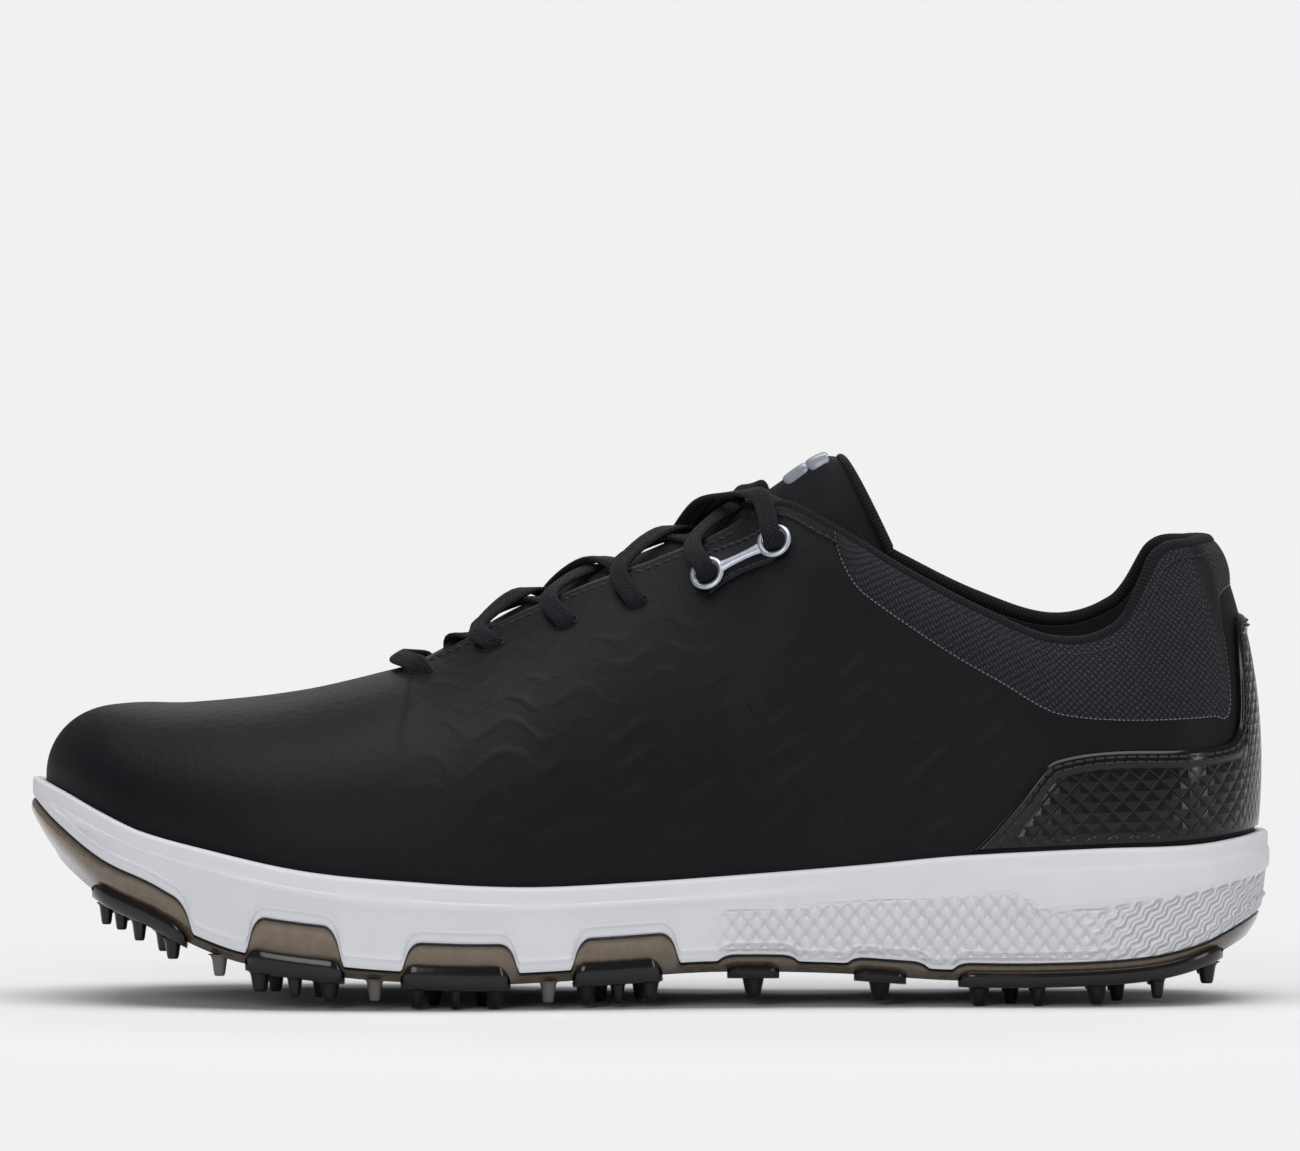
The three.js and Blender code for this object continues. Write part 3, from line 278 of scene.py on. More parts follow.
def top_line(u):
    u = np.asarray(u, float)
    size = np.abs(u)
    found = np.where((u < 0)[..., None], along(LATERAL_TOP, size), along(MEDIAL_TOP, size))
    side = np.where(u < 0, -1.0, 1.0)
    share = np.where(size >= THROAT_FRONT, 0, np.maximum(0, found[..., 1]))
    y = side * share * COLLAR_WIDTH / 2 + TOE_BIAS * smooth(THROAT_FRONT, 1, size)
    return vec(found[..., 0] * SHOE_LENGTH, y, found[..., 2] * QUARTER_HEIGHT)


def rib(u):
    lean, rise, start_pull, end_pull = np.moveaxis(along(RIBS, np.abs(u)), -1, 0)
    lean, rise = np.radians(lean), np.radians(rise)
    into = inward(u)
    foot = outline(u, FEATHER)
    foot[..., 2] = rim_top(foot[..., 0])
    top = top_line(u)
    chord = np.linalg.norm(top - foot, axis=-1)
    up = np.array([0, 0, 1.0])
    start = foot - into * (np.sin(lean) * start_pull * chord)[..., None]
    start = start + up * (np.cos(lean) * start_pull * chord)[..., None]
    end = top - into * (np.cos(rise) * end_pull * chord)[..., None]
    end = end - up * (np.sin(rise) * end_pull * chord)[..., None]
    return foot, start, end, top


def surface(u, v):
    u, v = np.broadcast_arrays(np.asarray(u, float), np.asarray(v, float))
    a, b, c, d = rib(wrap(u))
    v = v[..., None]
    w = 1 - v
    return a * w**3 + b * 3 * w * w * v + c * 3 * w * v * v + d * v**3


def inward_normal(u, v):
    u, v = np.broadcast_arrays(np.asarray(u, float), np.asarray(v, float))
    step = 0.004
    run_u = surface(u + step, v) - surface(u - step, v)
    run_v = surface(u, np.minimum(1, v + step)) - surface(u, np.maximum(0, v - step))
    normal = unit(np.cross(run_v, run_u))
    crest = (v >= 1) & (np.abs(wrap(u)) >= THROAT_FRONT)
    normal[crest] = (0, 0, -1)
    return normal


def layer(u, v, depth):
    """A place at a depth under the surface; v below 0 goes down inside the midsole's rim."""
    u, v, depth = np.broadcast_arrays(*(np.asarray(a, float) for a in (u, v, depth)))
    above = surface(u, np.maximum(v, 0)) + inward_normal(u, np.maximum(v, 0)) * depth[..., None]
    below = outline(wrap(u), FEATHER + depth)
    below[..., 2] = rim_top(outline(wrap(u), FEATHER + 0 * depth)[..., 0]) + v * (RIM_HEIGHT - GAP)
    return np.where((v < 0)[..., None], below, above)


def from_top(u, distance):
    """The v on a rib that lies a distance in from the upper's edge, however the edge slants."""
    _, _, end, top = rib(u)
    step = 0.002
    edge = unit(top_line(u + step) - top_line(u - step))
    slant = np.maximum(STEEPEST_EDGE, np.linalg.norm(np.cross(edge, unit(top - end)), axis=-1))
    return 1 - distance / (slant * 3 * np.linalg.norm(end - top, axis=-1))


def at_height(u, z):
    u = np.asarray(u, float)
    low, high = np.zeros(u.shape), np.ones(u.shape)
    for _ in range(30):
        middle = (low + high) / 2
        under = surface(u, middle)[..., 2] < z
        low, high = np.where(under, middle, low), np.where(under, high, middle)
    return low


def both_sides(rows):
    return lambda u: along(rows, np.abs(u))[..., 0]


MESH_LOW = both_sides([
    (0, 101), (0.035, 99), (0.045, 95), (0.06, 72), (0.08, 69.7), (0.2, 70.5), (0.25, 79),
    (0.3, 88), (0.345, 98), (0.38, 108),
])
OVERLAY_HIGH = both_sides([
    (0, 93), (0.025, 92), (0.037, 84), (0.055, 67), (0.08, 62.5), (0.21, 59.5), (0.245, 48),
    (0.268, 39.5), (0.28, 36.8),
])
RIB_DEPTH = SHELL + GAP
BINDING_END = 0.435
MESH_END = 0.372
MESH_TURN = 0.02
STITCH = 0.6975
SHELL_FOOT = -0.6


def collar_top(u):
    return from_top(u, 1.25 * BINDING_RADIUS)


def throat_top(u):
    return from_top(u, 1.25 * PIPING_RADIUS)


def mesh_edge(u):
    """The v of the collar mesh's lower edge, which turns up round its front end."""
    low, high = at_height(u, MESH_LOW(u)), collar_top(u)
    turn = np.clip(1 - (MESH_END - np.abs(u)) / MESH_TURN, 0, 1)
    return mix(low, high, 1 - np.sqrt(1 - turn**2))


# ---------------------------------------------------------------- meshes from points


def make(name, points, faces, body, replaces=(), uv=None, weights=None, sharp=40):
    """A smooth-shaded piece from millimetre points, its faces wound outwards."""
    mesh = bpy.data.meshes.new(name)
    mesh.from_pydata((np.asarray(points) * MM).tolist(), [], [tuple(f) for f in faces])
    for key, values in (weights or {}).items():
        attribute = mesh.attributes.new(key, "FLOAT", "POINT")
        attribute.data.foreach_set("value", np.asarray(values, np.float32).ravel())
    if uv is not None:
        layer_uv = mesh.uv_layers.new(name="flat")
        corner = np.zeros(len(mesh.loops), np.int32)
        mesh.loops.foreach_get("vertex_index", corner)
        layer_uv.data.foreach_set("uv", (np.asarray(uv)[corner] * MM).astype(np.float32).ravel())
    piece = bpy.data.objects.new(name, mesh)
    bpy.context.scene.collection.objects.link(piece)
    tidy(mesh, sharp)
    if body:
        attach(piece, body)
    if replaces:
        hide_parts(*replaces)
    return piece


def tidy(mesh, sharp):
    work = bmesh.new()
    work.from_mesh(mesh)
    bmesh.ops.remove_doubles(work, verts=work.verts, dist=2e-6)
    bmesh.ops.dissolve_degenerate(work, edges=work.edges, dist=1e-7)
    bmesh.ops.recalc_face_normals(work, faces=work.faces)
    work.to_mesh(mesh)
    work.free()
    mesh.shade_smooth()
    mesh.set_sharp_from_angle(angle=math.radians(sharp))


def grid_quads(rows, columns, first=0, flip=False):
    i, j = np.meshgrid(np.arange(rows - 1), np.arange(columns - 1), indexing="ij")
    a = (i * columns + j).ravel() + first
    quads = np.stack([a, a + columns, a + columns + 1, a + 1], axis=1)
    return (quads[:, ::-1] if flip else quads).tolist()


def rung_quads(upper, lower):
    return [(upper[k], lower[k], lower[k + 1], upper[k + 1]) for k in range(len(upper) - 1)]


def slab(outer, inner, loop=False, met=None):
    """Points and faces of a closed piece between two grids of places.

    met marks the columns whose last places meet those of the other side, without a wall.
    """
    rows, columns = outer.shape[:2]
    count = rows * columns
    points = np.concatenate([outer.reshape(-1, 3), inner.reshape(-1, 3)])
    faces = grid_quads(rows, columns) + grid_quads(rows, columns, count, True)
    ids = np.arange(count).reshape(rows, columns)
    edges = [ids[:, 0], ids[:, -1]] + ([] if loop else [ids[0, :], ids[-1, :]])
    for k, edge in enumerate(edges):
        wall = rung_quads(edge, edge + count)
        if k == 1 and met is not None:
            wall = [quad for quad, one, two in zip(wall, met, met[1:]) if not (one and two)]
        faces += wall
    return points, faces


def lengths(grid, axis):
    """How far each place of a grid is along its own row or column."""
    step = np.linalg.norm(np.diff(grid, axis=axis), axis=-1)
    pad = [(0, 0), (0, 0)]
    pad[axis] = (1, 0)
    return np.cumsum(np.pad(step, pad), axis=axis)


def flat_map(grid):
    """Millimetres along the middle of the grid's rows and up its columns."""
    middle = grid.shape[1] // 2
    run = lengths(grid, 0)[:, middle]
    return np.stack([np.broadcast_to(run[:, None], grid.shape[:2]), lengths(grid, 1)], axis=-1)


def layer_piece(name, stations, share_rows, outer, inner, body, replaces, weights=None, bulge=None,
                closed_from=None):
    """A layer of the upper between two depths. share_rows(u) gives the v values of each rib."""
    v = share_rows(stations)
    u = np.broadcast_to(stations[:, None], v.shape)
    depth = outer(u, v)
    if bulge is not None:
        depth = depth - bulge(u, v)
    face = layer(u, v, depth)
    back = layer(u, v, inner(u, v))
    closed = closed_from is not None
    points, faces = slab(face, back, closed, np.abs(stations) >= closed_from if closed else None)
    uv = flat_map(face).reshape(-1, 2)
    weight = {k: np.tile(f(u, v, face).ravel(), 2) for k, f in (weights or {}).items()}
    return make(name, points, faces, body, replaces, np.concatenate([uv, uv]), weight)


def rows_between(low, high, steps):
    share = np.linspace(0, 1, steps)
    return lambda u: mix(np.asarray(low(u))[:, None], np.asarray(high(u))[:, None], share[None, :])


def frames_along(places, hints):
    places, hints = np.asarray(places, float), np.asarray(hints, float)
    before = np.concatenate([places[:1], places[:-1]])
    after = np.concatenate([places[1:], places[-1:]])
    run = unit(after - before)
    across = unit(hints - run * np.sum(hints * run, axis=-1, keepdims=True))
    return places, across, np.cross(run, across)


def sweep(places, across, up, section, loop=False):
    """Points, faces and a flat map of a bar swept through frames; the section is [across, up]."""
    section = np.asarray(section, float)
    ring = np.concatenate([section, section[:1]])
    grid = places[:, None] + across[:, None] * ring[None, :, :1] + up[:, None] * ring[None, :, 1:]
    rows, columns = grid.shape[:2]
    points = grid.reshape(-1, 3)
    faces = grid_quads(rows, columns)
    if not loop:
        faces += [tuple(range(columns - 1)), tuple(range((rows - 1) * columns, rows * columns - 1))]
    run = np.concatenate([[0], np.cumsum(np.linalg.norm(np.diff(places, axis=0), axis=1))])
    around = np.concatenate([[0], np.cumsum(np.linalg.norm(np.diff(ring, axis=0), axis=1))])
    uv = np.stack(np.broadcast_arrays(run[:, None], around[None, :]), axis=-1).reshape(-1, 2)
    return points, faces, uv


def round_section(radius, sides, flatten=1.0):
    angle = np.linspace(0, 2 * math.pi, sides, endpoint=False)
    return np.stack([radius * np.cos(angle), radius * flatten * np.sin(angle)], axis=1)


def resample(places, steps):
    """A smooth line through the places, with a number of steps in each span."""
    places = np.asarray(places, float)
    padded = np.concatenate([2 * places[:1] - places[1:2], places, 2 * places[-1:] - places[-2:-1]])
    t = np.arange(steps)[:, None] / steps
    spans = []
    for i in range(len(places) - 1):
        a, b, c, d = padded[i:i + 4]
        spans.append(0.5 * (2 * b + (c - a) * t + (2 * a - 5 * b + 4 * c - d) * t**2
                            + (3 * b - a - 3 * c + d) * t**3))
    return np.concatenate([*spans, places[-1:]])


def merged(parts):
    """One set of points, faces and flat map from several (points, faces, uv)."""
    points, faces, uv, start = [], [], [], 0
    for some_points, some_faces, some_uv in parts:
        points.append(some_points)
        faces += [tuple(i + start for i in face) for face in some_faces]
        uv.append(some_uv)
        start += len(some_points)
    return np.concatenate(points), faces, np.concatenate(uv)


def lathe(profile, centre, axis, sides):
    """A turned shape: profile is [radius, height along the axis]."""
    axis = unit(np.asarray(axis, float))
    helper = np.array([1.0, 0, 0]) if abs(axis[0]) < 0.9 else np.array([0, 1.0, 0])
    a = unit(np.cross(axis, helper))
    b = np.cross(axis, a)
    angle = np.linspace(0, 2 * math.pi, sides + 1)
    around = np.cos(angle)[:, None] * a + np.sin(angle)[:, None] * b
    profile = np.asarray(profile, float)
    grid = centre + around[:, None] * profile[None, :, :1] + axis * profile[None, :, 1:]
    girth = angle[:, None] * profile[:, 0].max()
    uv = np.stack(np.broadcast_arrays(girth, profile[None, :, 1]), axis=-1)
    return grid.reshape(-1, 3), grid_quads(sides + 1, len(profile)), uv.reshape(-1, 2)


def stitches(places, normals, pitch=2.6, length=1.9, radius=0.32):
    """Short sewn threads along a line of places, standing a little proud of the surface."""
    places = np.asarray(places, float)
    run = np.concatenate([[0], np.cumsum(np.linalg.norm(np.diff(places, axis=0), axis=1))])
    parts = []
    for start in np.arange(pitch / 2, run[-1] - pitch / 2, pitch):
        at = start + np.linspace(-0.5, 0.5, 5) * length
        line = np.stack([np.interp(at, run, places[:, k]) for k in range(3)], axis=1)
        up = unit(np.array([np.interp(at, run, normals[:, k]) for k in range(3)]).T)
        arch = radius * np.array([-0.6, 0.35, 0.6, 0.35, -0.6])
        line = line + up * arch[:, None]
        frames = frames_along(line, np.cross(up, unit(line[-1:] - line[:1])))
        points, faces, uv = sweep(*frames, round_section(radius, 6))
        parts.append((points, faces, uv))
    return parts


# ---------------------------------------------------------------- materials


NOISE_ROUGHNESS = 0.55


class Look:
    """A node material with a Principled shader and short helpers for procedural patterns."""

    def __init__(self, name, colour=(0.5, 0.5, 0.5), roughness=0.5, **sockets):
        self.material = bpy.data.materials.new(name)
        self.material.use_nodes = True
        self.tree = self.material.node_tree
        self.shader = self.tree.nodes["Principled BSDF"]
        self.shader.inputs["Base Color"].default_value = (*colour, 1)
        self.shader.inputs["Roughness"].default_value = roughness
        for key, value in sockets.items():
            self.shader.inputs[key.replace("_", " ")].default_value = value

    def node(self, kind, *links, **settings):
        made = self.tree.nodes.new("ShaderNode" + kind)
        for key, value in settings.items():
            setattr(made, key, value)
        for socket, value in links:
            target = made.inputs[socket]
            if isinstance(value, bpy.types.NodeSocket):
                self.tree.links.new(value, target)
            else:
                target.default_value = value
        return made

    def math(self, operation, a, b=0.0, c=0.0):
        made = self.node("Math", (0, a), (1, b), (2, c), operation=operation)
        return made.outputs[0]

    def place(self):
        return self.node("TexCoord").outputs["Object"]

    def flat(self):
        """The two flat coordinates, in millimetres."""
        uv = self.node("UVMap", uv_map="flat").outputs[0]
        split = self.node("SeparateXYZ", (0, uv))
        return [self.math("MULTIPLY", split.outputs[k], 1 / MM) for k in (0, 1)]

    def weight(self, name):
        return self.node("Attribute", attribute_name=name).outputs["Fac"]

    def noise(self, size_mm, detail=3.0):
        made = self.node("TexNoise", ("Vector", self.place()), ("Scale", 1 / (size_mm * MM)),
                         ("Detail", detail), ("Roughness", NOISE_ROUGHNESS))
        return made.outputs["Fac"]

    def ramp(self, value, low, high, start=0.0, end=1.0):
        made = self.node("MapRange", (0, value), (1, low), (2, high), (3, start), (4, end))
        return made.outputs[0]

    def wave(self, value, pitch, shift=0.0):
        """From 0 to 1 and back over each pitch."""
        turned = self.math("MULTIPLY_ADD", value, 2 * math.pi / pitch, shift)
        return self.math("MULTIPLY_ADD", self.math("SINE", turned), 0.5, 0.5)

    def shade(self, value, dark, light):
        made = self.node("Mix", (0, value), ("A", (*dark, 1)), ("B", (*light, 1)), data_type="RGBA")
        self.tree.links.new(made.outputs["Result"], self.shader.inputs["Base Color"])
        return self

    def gloss(self, value, low, high):
        self.tree.links.new(self.ramp(value, 0, 1, low, high), self.shader.inputs["Roughness"])
        return self

    def bump(self, height, depth_mm, strength=1.0):
        linked = self.shader.inputs["Normal"].links
        before = linked[0].from_socket if linked else None
        made = self.node("Bump", ("Height", height), ("Distance", depth_mm * MM), ("Strength", strength))
        if before is not None:
            self.tree.links.new(before, made.inputs["Normal"])
        self.tree.links.new(made.outputs[0], self.shader.inputs["Normal"])
        return self


def grain(look, size, depth):
    return look.bump(look.noise(size), depth)


def upper_look():
    look = Look("synthetic upper", roughness=0.5, Specular_IOR_Level=0.16)
    along_mm, up_mm = look.flat()
    drift = look.math("MULTIPLY_ADD", look.noise(16, 1.0), 9.0, -4.5)
    swell = look.math("MULTIPLY", look.wave(look.math("ADD", along_mm, drift), 19.0), 5.0)
    ridges = look.wave(look.math("ADD", look.math("ADD", up_mm, swell), drift), 8.5)
    uneven = look.ramp(look.noise(14, 1.0), 0.35, 0.6)
    cells = look.math("POWER", ridges, 3.0)
    relief = look.math("MULTIPLY", look.math("MULTIPLY", cells, look.weight("emboss")), uneven)
    fine = look.noise(0.55, 2.0)
    patches = look.noise(26, 2.0)
    specks = look.ramp(look.noise(0.42, 0.0), 0.72, 0.8)
    shading = look.math("MULTIPLY_ADD", relief, 0.2, look.math("MULTIPLY", patches, 0.5))
    look.shade(look.math("MULTIPLY_ADD", specks, 0.4, shading),
               (0.0024, 0.0028, 0.004), (0.0075, 0.0083, 0.0108))
    look.gloss(look.math("MULTIPLY_ADD", fine, 0.5, look.math("MULTIPLY", patches, 0.5)), 0.42, 0.62)
    look.bump(relief, 0.42, 0.65)
    look.bump(look.noise(2.6, 2.0), 0.18, 0.8)
    return grain(look, 0.6, 0.1)


def mesh_look():
    look = Look("collar mesh", roughness=0.75, Specular_IOR_Level=0.2,
                Sheen_Weight=0.04, Sheen_Roughness=0.5)
    flat_along, flat_up = look.flat()
    along_mm = look.math("MULTIPLY_ADD", look.noise(2.2, 1.0), 0.9, flat_along)
    up_mm = look.math("MULTIPLY_ADD", look.noise(1.8, 1.0), 0.9, flat_up)
    pitch = 1.7
    a = look.wave(look.math("ADD", along_mm, up_mm), pitch)
    b = look.wave(look.math("SUBTRACT", along_mm, up_mm), pitch)
    dots = look.math("MULTIPLY", a, b)
    yarn = look.wave(up_mm, 0.55)
    look.shade(look.math("MULTIPLY_ADD", yarn, 0.15, look.math("POWER", dots, 0.6)),
               (0.0012, 0.0014, 0.002), (0.036, 0.039, 0.046))
    look.bump(look.math("POWER", dots, 0.7), 0.6, 0.9)
    return look.bump(yarn, 0.08, 0.6)


def knit_look(name, dark, light, pitch=1.1, depth=0.25):
    look = Look(name, roughness=0.85, Specular_IOR_Level=0.16, Sheen_Weight=0.03, Sheen_Roughness=0.45)
    along_mm, up_mm = look.flat()
    column = look.wave(along_mm, pitch)
    leaning = look.math("MULTIPLY_ADD", look.math("PINGPONG", along_mm, pitch / 2), 0.9, up_mm)
    loops = look.math("MULTIPLY", column, look.wave(leaning, pitch * 0.8))
    look.shade(look.math("MULTIPLY_ADD", look.noise(9), 0.4, look.math("MULTIPLY", loops, 0.8)), dark, light)
    look.bump(loops, depth, 0.8)
    return grain(look, 0.35, 0.06)


def tongue_look():
    look = Look("tongue cloth", roughness=0.7, Specular_IOR_Level=0.14,
                Sheen_Weight=0.02, Sheen_Roughness=0.5)
    along_mm, up_mm = look.flat()
    weave = look.math("MULTIPLY", look.wave(along_mm, 0.62), look.wave(up_mm, 0.62))
    look.shade(look.math("MULTIPLY_ADD", weave, 0.5, look.math("MULTIPLY", look.noise(16), 0.5)),
               (0.0026, 0.003, 0.0042), (0.0085, 0.0093, 0.0115))
    look.bump(weave, 0.07, 0.7)
    look.bump(look.noise(7, 1.0), 0.35, 0.5)
    return grain(look, 0.4, 0.04)


def film_look():
    look = Look("glossy film", roughness=0.2, Specular_IOR_Level=0.26, Coat_Weight=0.16, Coat_Roughness=0.08)
    along_mm, up_mm = look.flat()
    pitch, groove = 5.0, 0.55
    a = look.math("PINGPONG", look.math("ADD", along_mm, up_mm), pitch / 2)
    b = look.math("PINGPONG", look.math("SUBTRACT", along_mm, up_mm), pitch / 2)
    from_line = look.math("MINIMUM", a, b)
    flat_top = look.math("MULTIPLY", look.math("MINIMUM", from_line, groove), 0.5 / groove)
    diamond = look.math("MULTIPLY_ADD", from_line, 0.5 / (pitch / 2), flat_top)
    relief = look.math("MULTIPLY", diamond, look.weight("field"))
    look.shade(look.noise(12), (0.0018, 0.002, 0.003), (0.0042, 0.0046, 0.0064))
    look.gloss(look.math("MULTIPLY_ADD", relief, 0.3, look.math("MULTIPLY", look.noise(3), 0.4)), 0.14, 0.34)
    look.bump(relief, 0.6, 0.85)
    return grain(look, 1.4, 0.02)


def foam_look():
    look = Look("midsole foam", roughness=0.55, Specular_IOR_Level=0.35, Subsurface_Weight=0.08)
    look.shader.inputs["Subsurface Radius"].default_value = (0.004, 0.004, 0.0045)
    along_mm, up_mm = look.flat()
    ripple = look.math("MULTIPLY", look.wave(look.math("ADD", up_mm, along_mm), 6.2), 1.1)
    slanted = look.math("MULTIPLY_ADD", up_mm, -1.05, along_mm)
    chevrons = look.math("POWER", look.wave(look.math("ADD", slanted, ripple), 3.9), 1.4)
    row = look.math("FLOOR", look.math("DIVIDE", up_mm, 2.4))
    shift = look.math("MULTIPLY", look.math("MODULO", row, 2.0), 2.0)
    across = look.math("SUBTRACT", look.math("MODULO", look.math("ADD", along_mm, shift), 4.0), 2.0)
    height = look.math("SUBTRACT", up_mm, look.math("MULTIPLY", row, 2.4))
    scales = look.math("SUBTRACT", height, look.math("MULTIPLY", look.math("MULTIPLY", across, across), 0.42))
    scales = look.ramp(scales, -0.6, 2.2)
    relief = look.math("ADD", look.math("MULTIPLY", chevrons, look.weight("chevron")),
                       look.math("MULTIPLY", scales, look.weight("scale")))
    grime = look.math("MULTIPLY", look.noise(14), 0.35)
    look.shade(look.math("MULTIPLY_ADD", relief, 0.4, look.math("SUBTRACT", 0.75, grime)),
               (0.56, 0.57, 0.605), (0.78, 0.785, 0.81))
    look.gloss(look.noise(2), 0.45, 0.62)
    look.bump(relief, 1.4, 1.0)
    return grain(look, 0.35, 0.03)


def smoky_look():
    look = Look("smoky plastic", roughness=0.15, IOR=1.5, Coat_Weight=0.4, Coat_Roughness=0.08)
    _, up_mm = look.flat()
    clouds = look.noise(2.4)
    # Colour of the outsole wall: rise makes it darker towards the plate and lighter up the wall, and rim
    # makes a dark band just under the foam's lip, a painted shadow of that overhanging lip.
    rim = look.ramp(look.weight("rim"), 0.0, 1.0)
    risen = look.math("MULTIPLY_ADD", clouds, 0.5, look.math("MULTIPLY", look.weight("rise"), 0.6))
    light = look.math("MULTIPLY", risen, rim)
    look.shade(light, (0.005, 0.0038, 0.0034), (0.2, 0.148, 0.098))
    look.gloss(clouds, 0.12, 0.3)
    look.bump(look.wave(up_mm, 2.2), 0.1, 0.3)
    look.bump(clouds, 0.25, 0.5)
    return grain(look, 0.7, 0.03)


def rubber_look():
    look = Look("lug rubber", roughness=0.2, Specular_IOR_Level=0.3, Coat_Weight=0.2, Coat_Roughness=0.04)
    look.shade(look.noise(3), (0.0018, 0.0016, 0.0017), (0.009, 0.0078, 0.0072))
    look.gloss(look.noise(1.5), 0.1, 0.26)
    return grain(look, 0.8, 0.03)


def lace_look():
    look = Look("woven lace", roughness=0.7, Specular_IOR_Level=0.18, Sheen_Weight=0.02, Sheen_Roughness=0.4)
    along_mm, around_mm = look.flat()
    lean = look.math("PINGPONG", around_mm, LACE_WIDTH / 4)
    braid = look.wave(look.math("MULTIPLY_ADD", lean, 1.6, along_mm), 1.25)
    strand = look.wave(around_mm, 0.8)
    weave = look.math("MULTIPLY_ADD", braid, 0.7, look.math("MULTIPLY", strand, 0.3))
    look.shade(weave, (0.001, 0.0012, 0.0018), (0.0135, 0.0148, 0.0185))
    look.bump(weave, 0.35, 0.9)
    return grain(look, 0.3, 0.05)


def metal_look():
    look = Look("satin metal", colour=(0.62, 0.64, 0.68), roughness=0.4, Metallic=1.0)
    brushed = look.node("TexNoise", ("Vector", look.place()), ("Scale", 900.0), ("Detail", 2.0))
    look.shade(look.noise(1.6), (0.4, 0.43, 0.49), (0.56, 0.59, 0.65))
    look.gloss(brushed.outputs["Fac"], 0.32, 0.5)
    return look.bump(brushed.outputs["Fac"], 0.02, 0.4)


def tape_look():
    look = Look("binding tape", roughness=0.78, Specular_IOR_Level=0.16,
                Sheen_Weight=0.02, Sheen_Roughness=0.4)
    along_mm, around_mm = look.flat()
    ribs = look.wave(look.math("MULTIPLY_ADD", look.math("PINGPONG", around_mm, 0.5), 0.8, along_mm), 0.95)
    look.shade(look.math("MULTIPLY_ADD", ribs, 0.6, look.math("MULTIPLY", look.noise(5), 0.4)),
               (0.0012, 0.0014, 0.002), (0.0125, 0.0135, 0.0168))
    look.bump(ribs, 0.28, 0.8)
    return grain(look, 0.25, 0.05)


def gloss_look(name, dark, light, low=0.12, high=0.3, coat=0.4):
    look = Look(name, roughness=low, Specular_IOR_Level=0.3, Coat_Weight=coat, Coat_Roughness=0.1)
    look.shade(look.noise(5), dark, light)
    look.gloss(look.noise(1.2), low, high)
    return grain(look, 0.5, 0.025)


def board_look(name, dark, light, size=1.2):
    look = Look(name, roughness=0.85)
    look.shade(look.noise(size), dark, light)
    return grain(look, size / 2, 0.12)


def foam_pad_look():
    look = Look("open foam", roughness=0.95)
    cells = look.node("TexVoronoi", ("Vector", look.place()), ("Scale", 900.0))
    look.shade(cells.outputs["Distance"], (0.006, 0.0065, 0.008), (0.02, 0.021, 0.025))
    return look.bump(cells.outputs["Distance"], 0.3, 0.6)


# Where the paper starts and ends its turn into the backdrop, in metres from the middle.
FLOOR_NEAR = 0.12
FLOOR_FAR = 0.34


def floor_look():
    """Pale paper that turns into the even backdrop away from the shoe."""
    look = Look("studio floor", roughness=0.8, Specular_IOR_Level=0.1)
    look.shade(look.noise(900, 1.0), (0.84, 0.84, 0.84), (0.86, 0.86, 0.86))
    apart = look.node("VectorMath", (0, look.place()), operation="LENGTH").outputs["Value"]
    share = look.node("MapRange", (0, apart), (1, FLOOR_NEAR), (2, FLOOR_FAR),
                      interpolation_type="SMOOTHSTEP")
    glow = look.node("Emission", ("Color", (*PALE, 1)))
    both = look.node("MixShader", (0, share.outputs[0]), (1, look.shader.outputs[0]), (2, glow.outputs[0]))
    look.tree.links.new(both.outputs[0], look.tree.nodes["Material Output"].inputs["Surface"])
    return look


# Each look's material and the name of a record slot, which nothing in the script reads.
LOOKS = {
    "upper": (upper_look(), "upper_synthetic"),
    "mesh": (mesh_look(), "collar_knit"),
    "film": (film_look(), "gloss_film"),
    "foam": (foam_look(), "midsole_foam"),
    "smoky": (smoky_look(), "outsole_plate"),
    "rubber": (rubber_look(), "lug_rubber"),
    "lace": (lace_look(), "lace_cord"),
    "metal": (metal_look(), "link_metal"),
    "tape": (tape_look(), "binding_tape"),
    "clear": (gloss_look("clear peg", (0.06, 0.058, 0.056), (0.13, 0.125, 0.12), 0.08, 0.2),
              "outsole_plate"),
    "tongue": (tongue_look(), "tongue_knit"),
    "lining": (knit_look("lining knit", (0.0028, 0.003, 0.004), (0.014, 0.015, 0.018), 0.9, 0.15),
               "lining_knit"),
    "insole": (knit_look("insole cloth", (0.004, 0.0042, 0.0055), (0.02, 0.022, 0.027), 1.0, 0.15),
               "insole_foam"),
    "badge": (gloss_look("badge rubber", (0.16, 0.175, 0.215), (0.24, 0.26, 0.31), 0.3, 0.45),
              "badge_rubber"),
    "piping": (gloss_look("rolled edge", (0.002, 0.0022, 0.003), (0.005, 0.0055, 0.007), 0.34, 0.5, 0.1),
               "gloss_film"),
    "patch": (gloss_look("link patch", (0.002, 0.0022, 0.003), (0.006, 0.0065, 0.008), 0.45, 0.65, 0.0),
              "upper_synthetic"),
    "tip": (gloss_look("lace tip", (0.006, 0.0065, 0.008), (0.016, 0.017, 0.02), 0.1, 0.22), "tip_plastic"),
    "thread": (gloss_look("sewing thread", (0.012, 0.013, 0.016), (0.035, 0.038, 0.044), 0.4, 0.6, 0.0),
               "lace_cord"),
    # Its pale colour paints the highlight of light along the collar mesh's cut edge.
    "painted edge highlight": (gloss_look("painted edge highlight", (0.1, 0.105, 0.115), (0.26, 0.265, 0.28), 0.5, 0.7, 0.0),
                    "lace_cord"),
    "board": (board_look("stiffener board", (0.006, 0.0064, 0.0075), (0.014, 0.0148, 0.017)), "stiffener"),
    "felt": (board_look("strobel felt", (0.55, 0.52, 0.45), (0.72, 0.69, 0.62), 0.8), "strobel_felt"),
    "shank": (board_look("shank plastic", (0.02, 0.02, 0.02), (0.045, 0.045, 0.045), 2.0), "shank_plastic"),
    "pad": (foam_pad_look(), "padding_foam"),
}


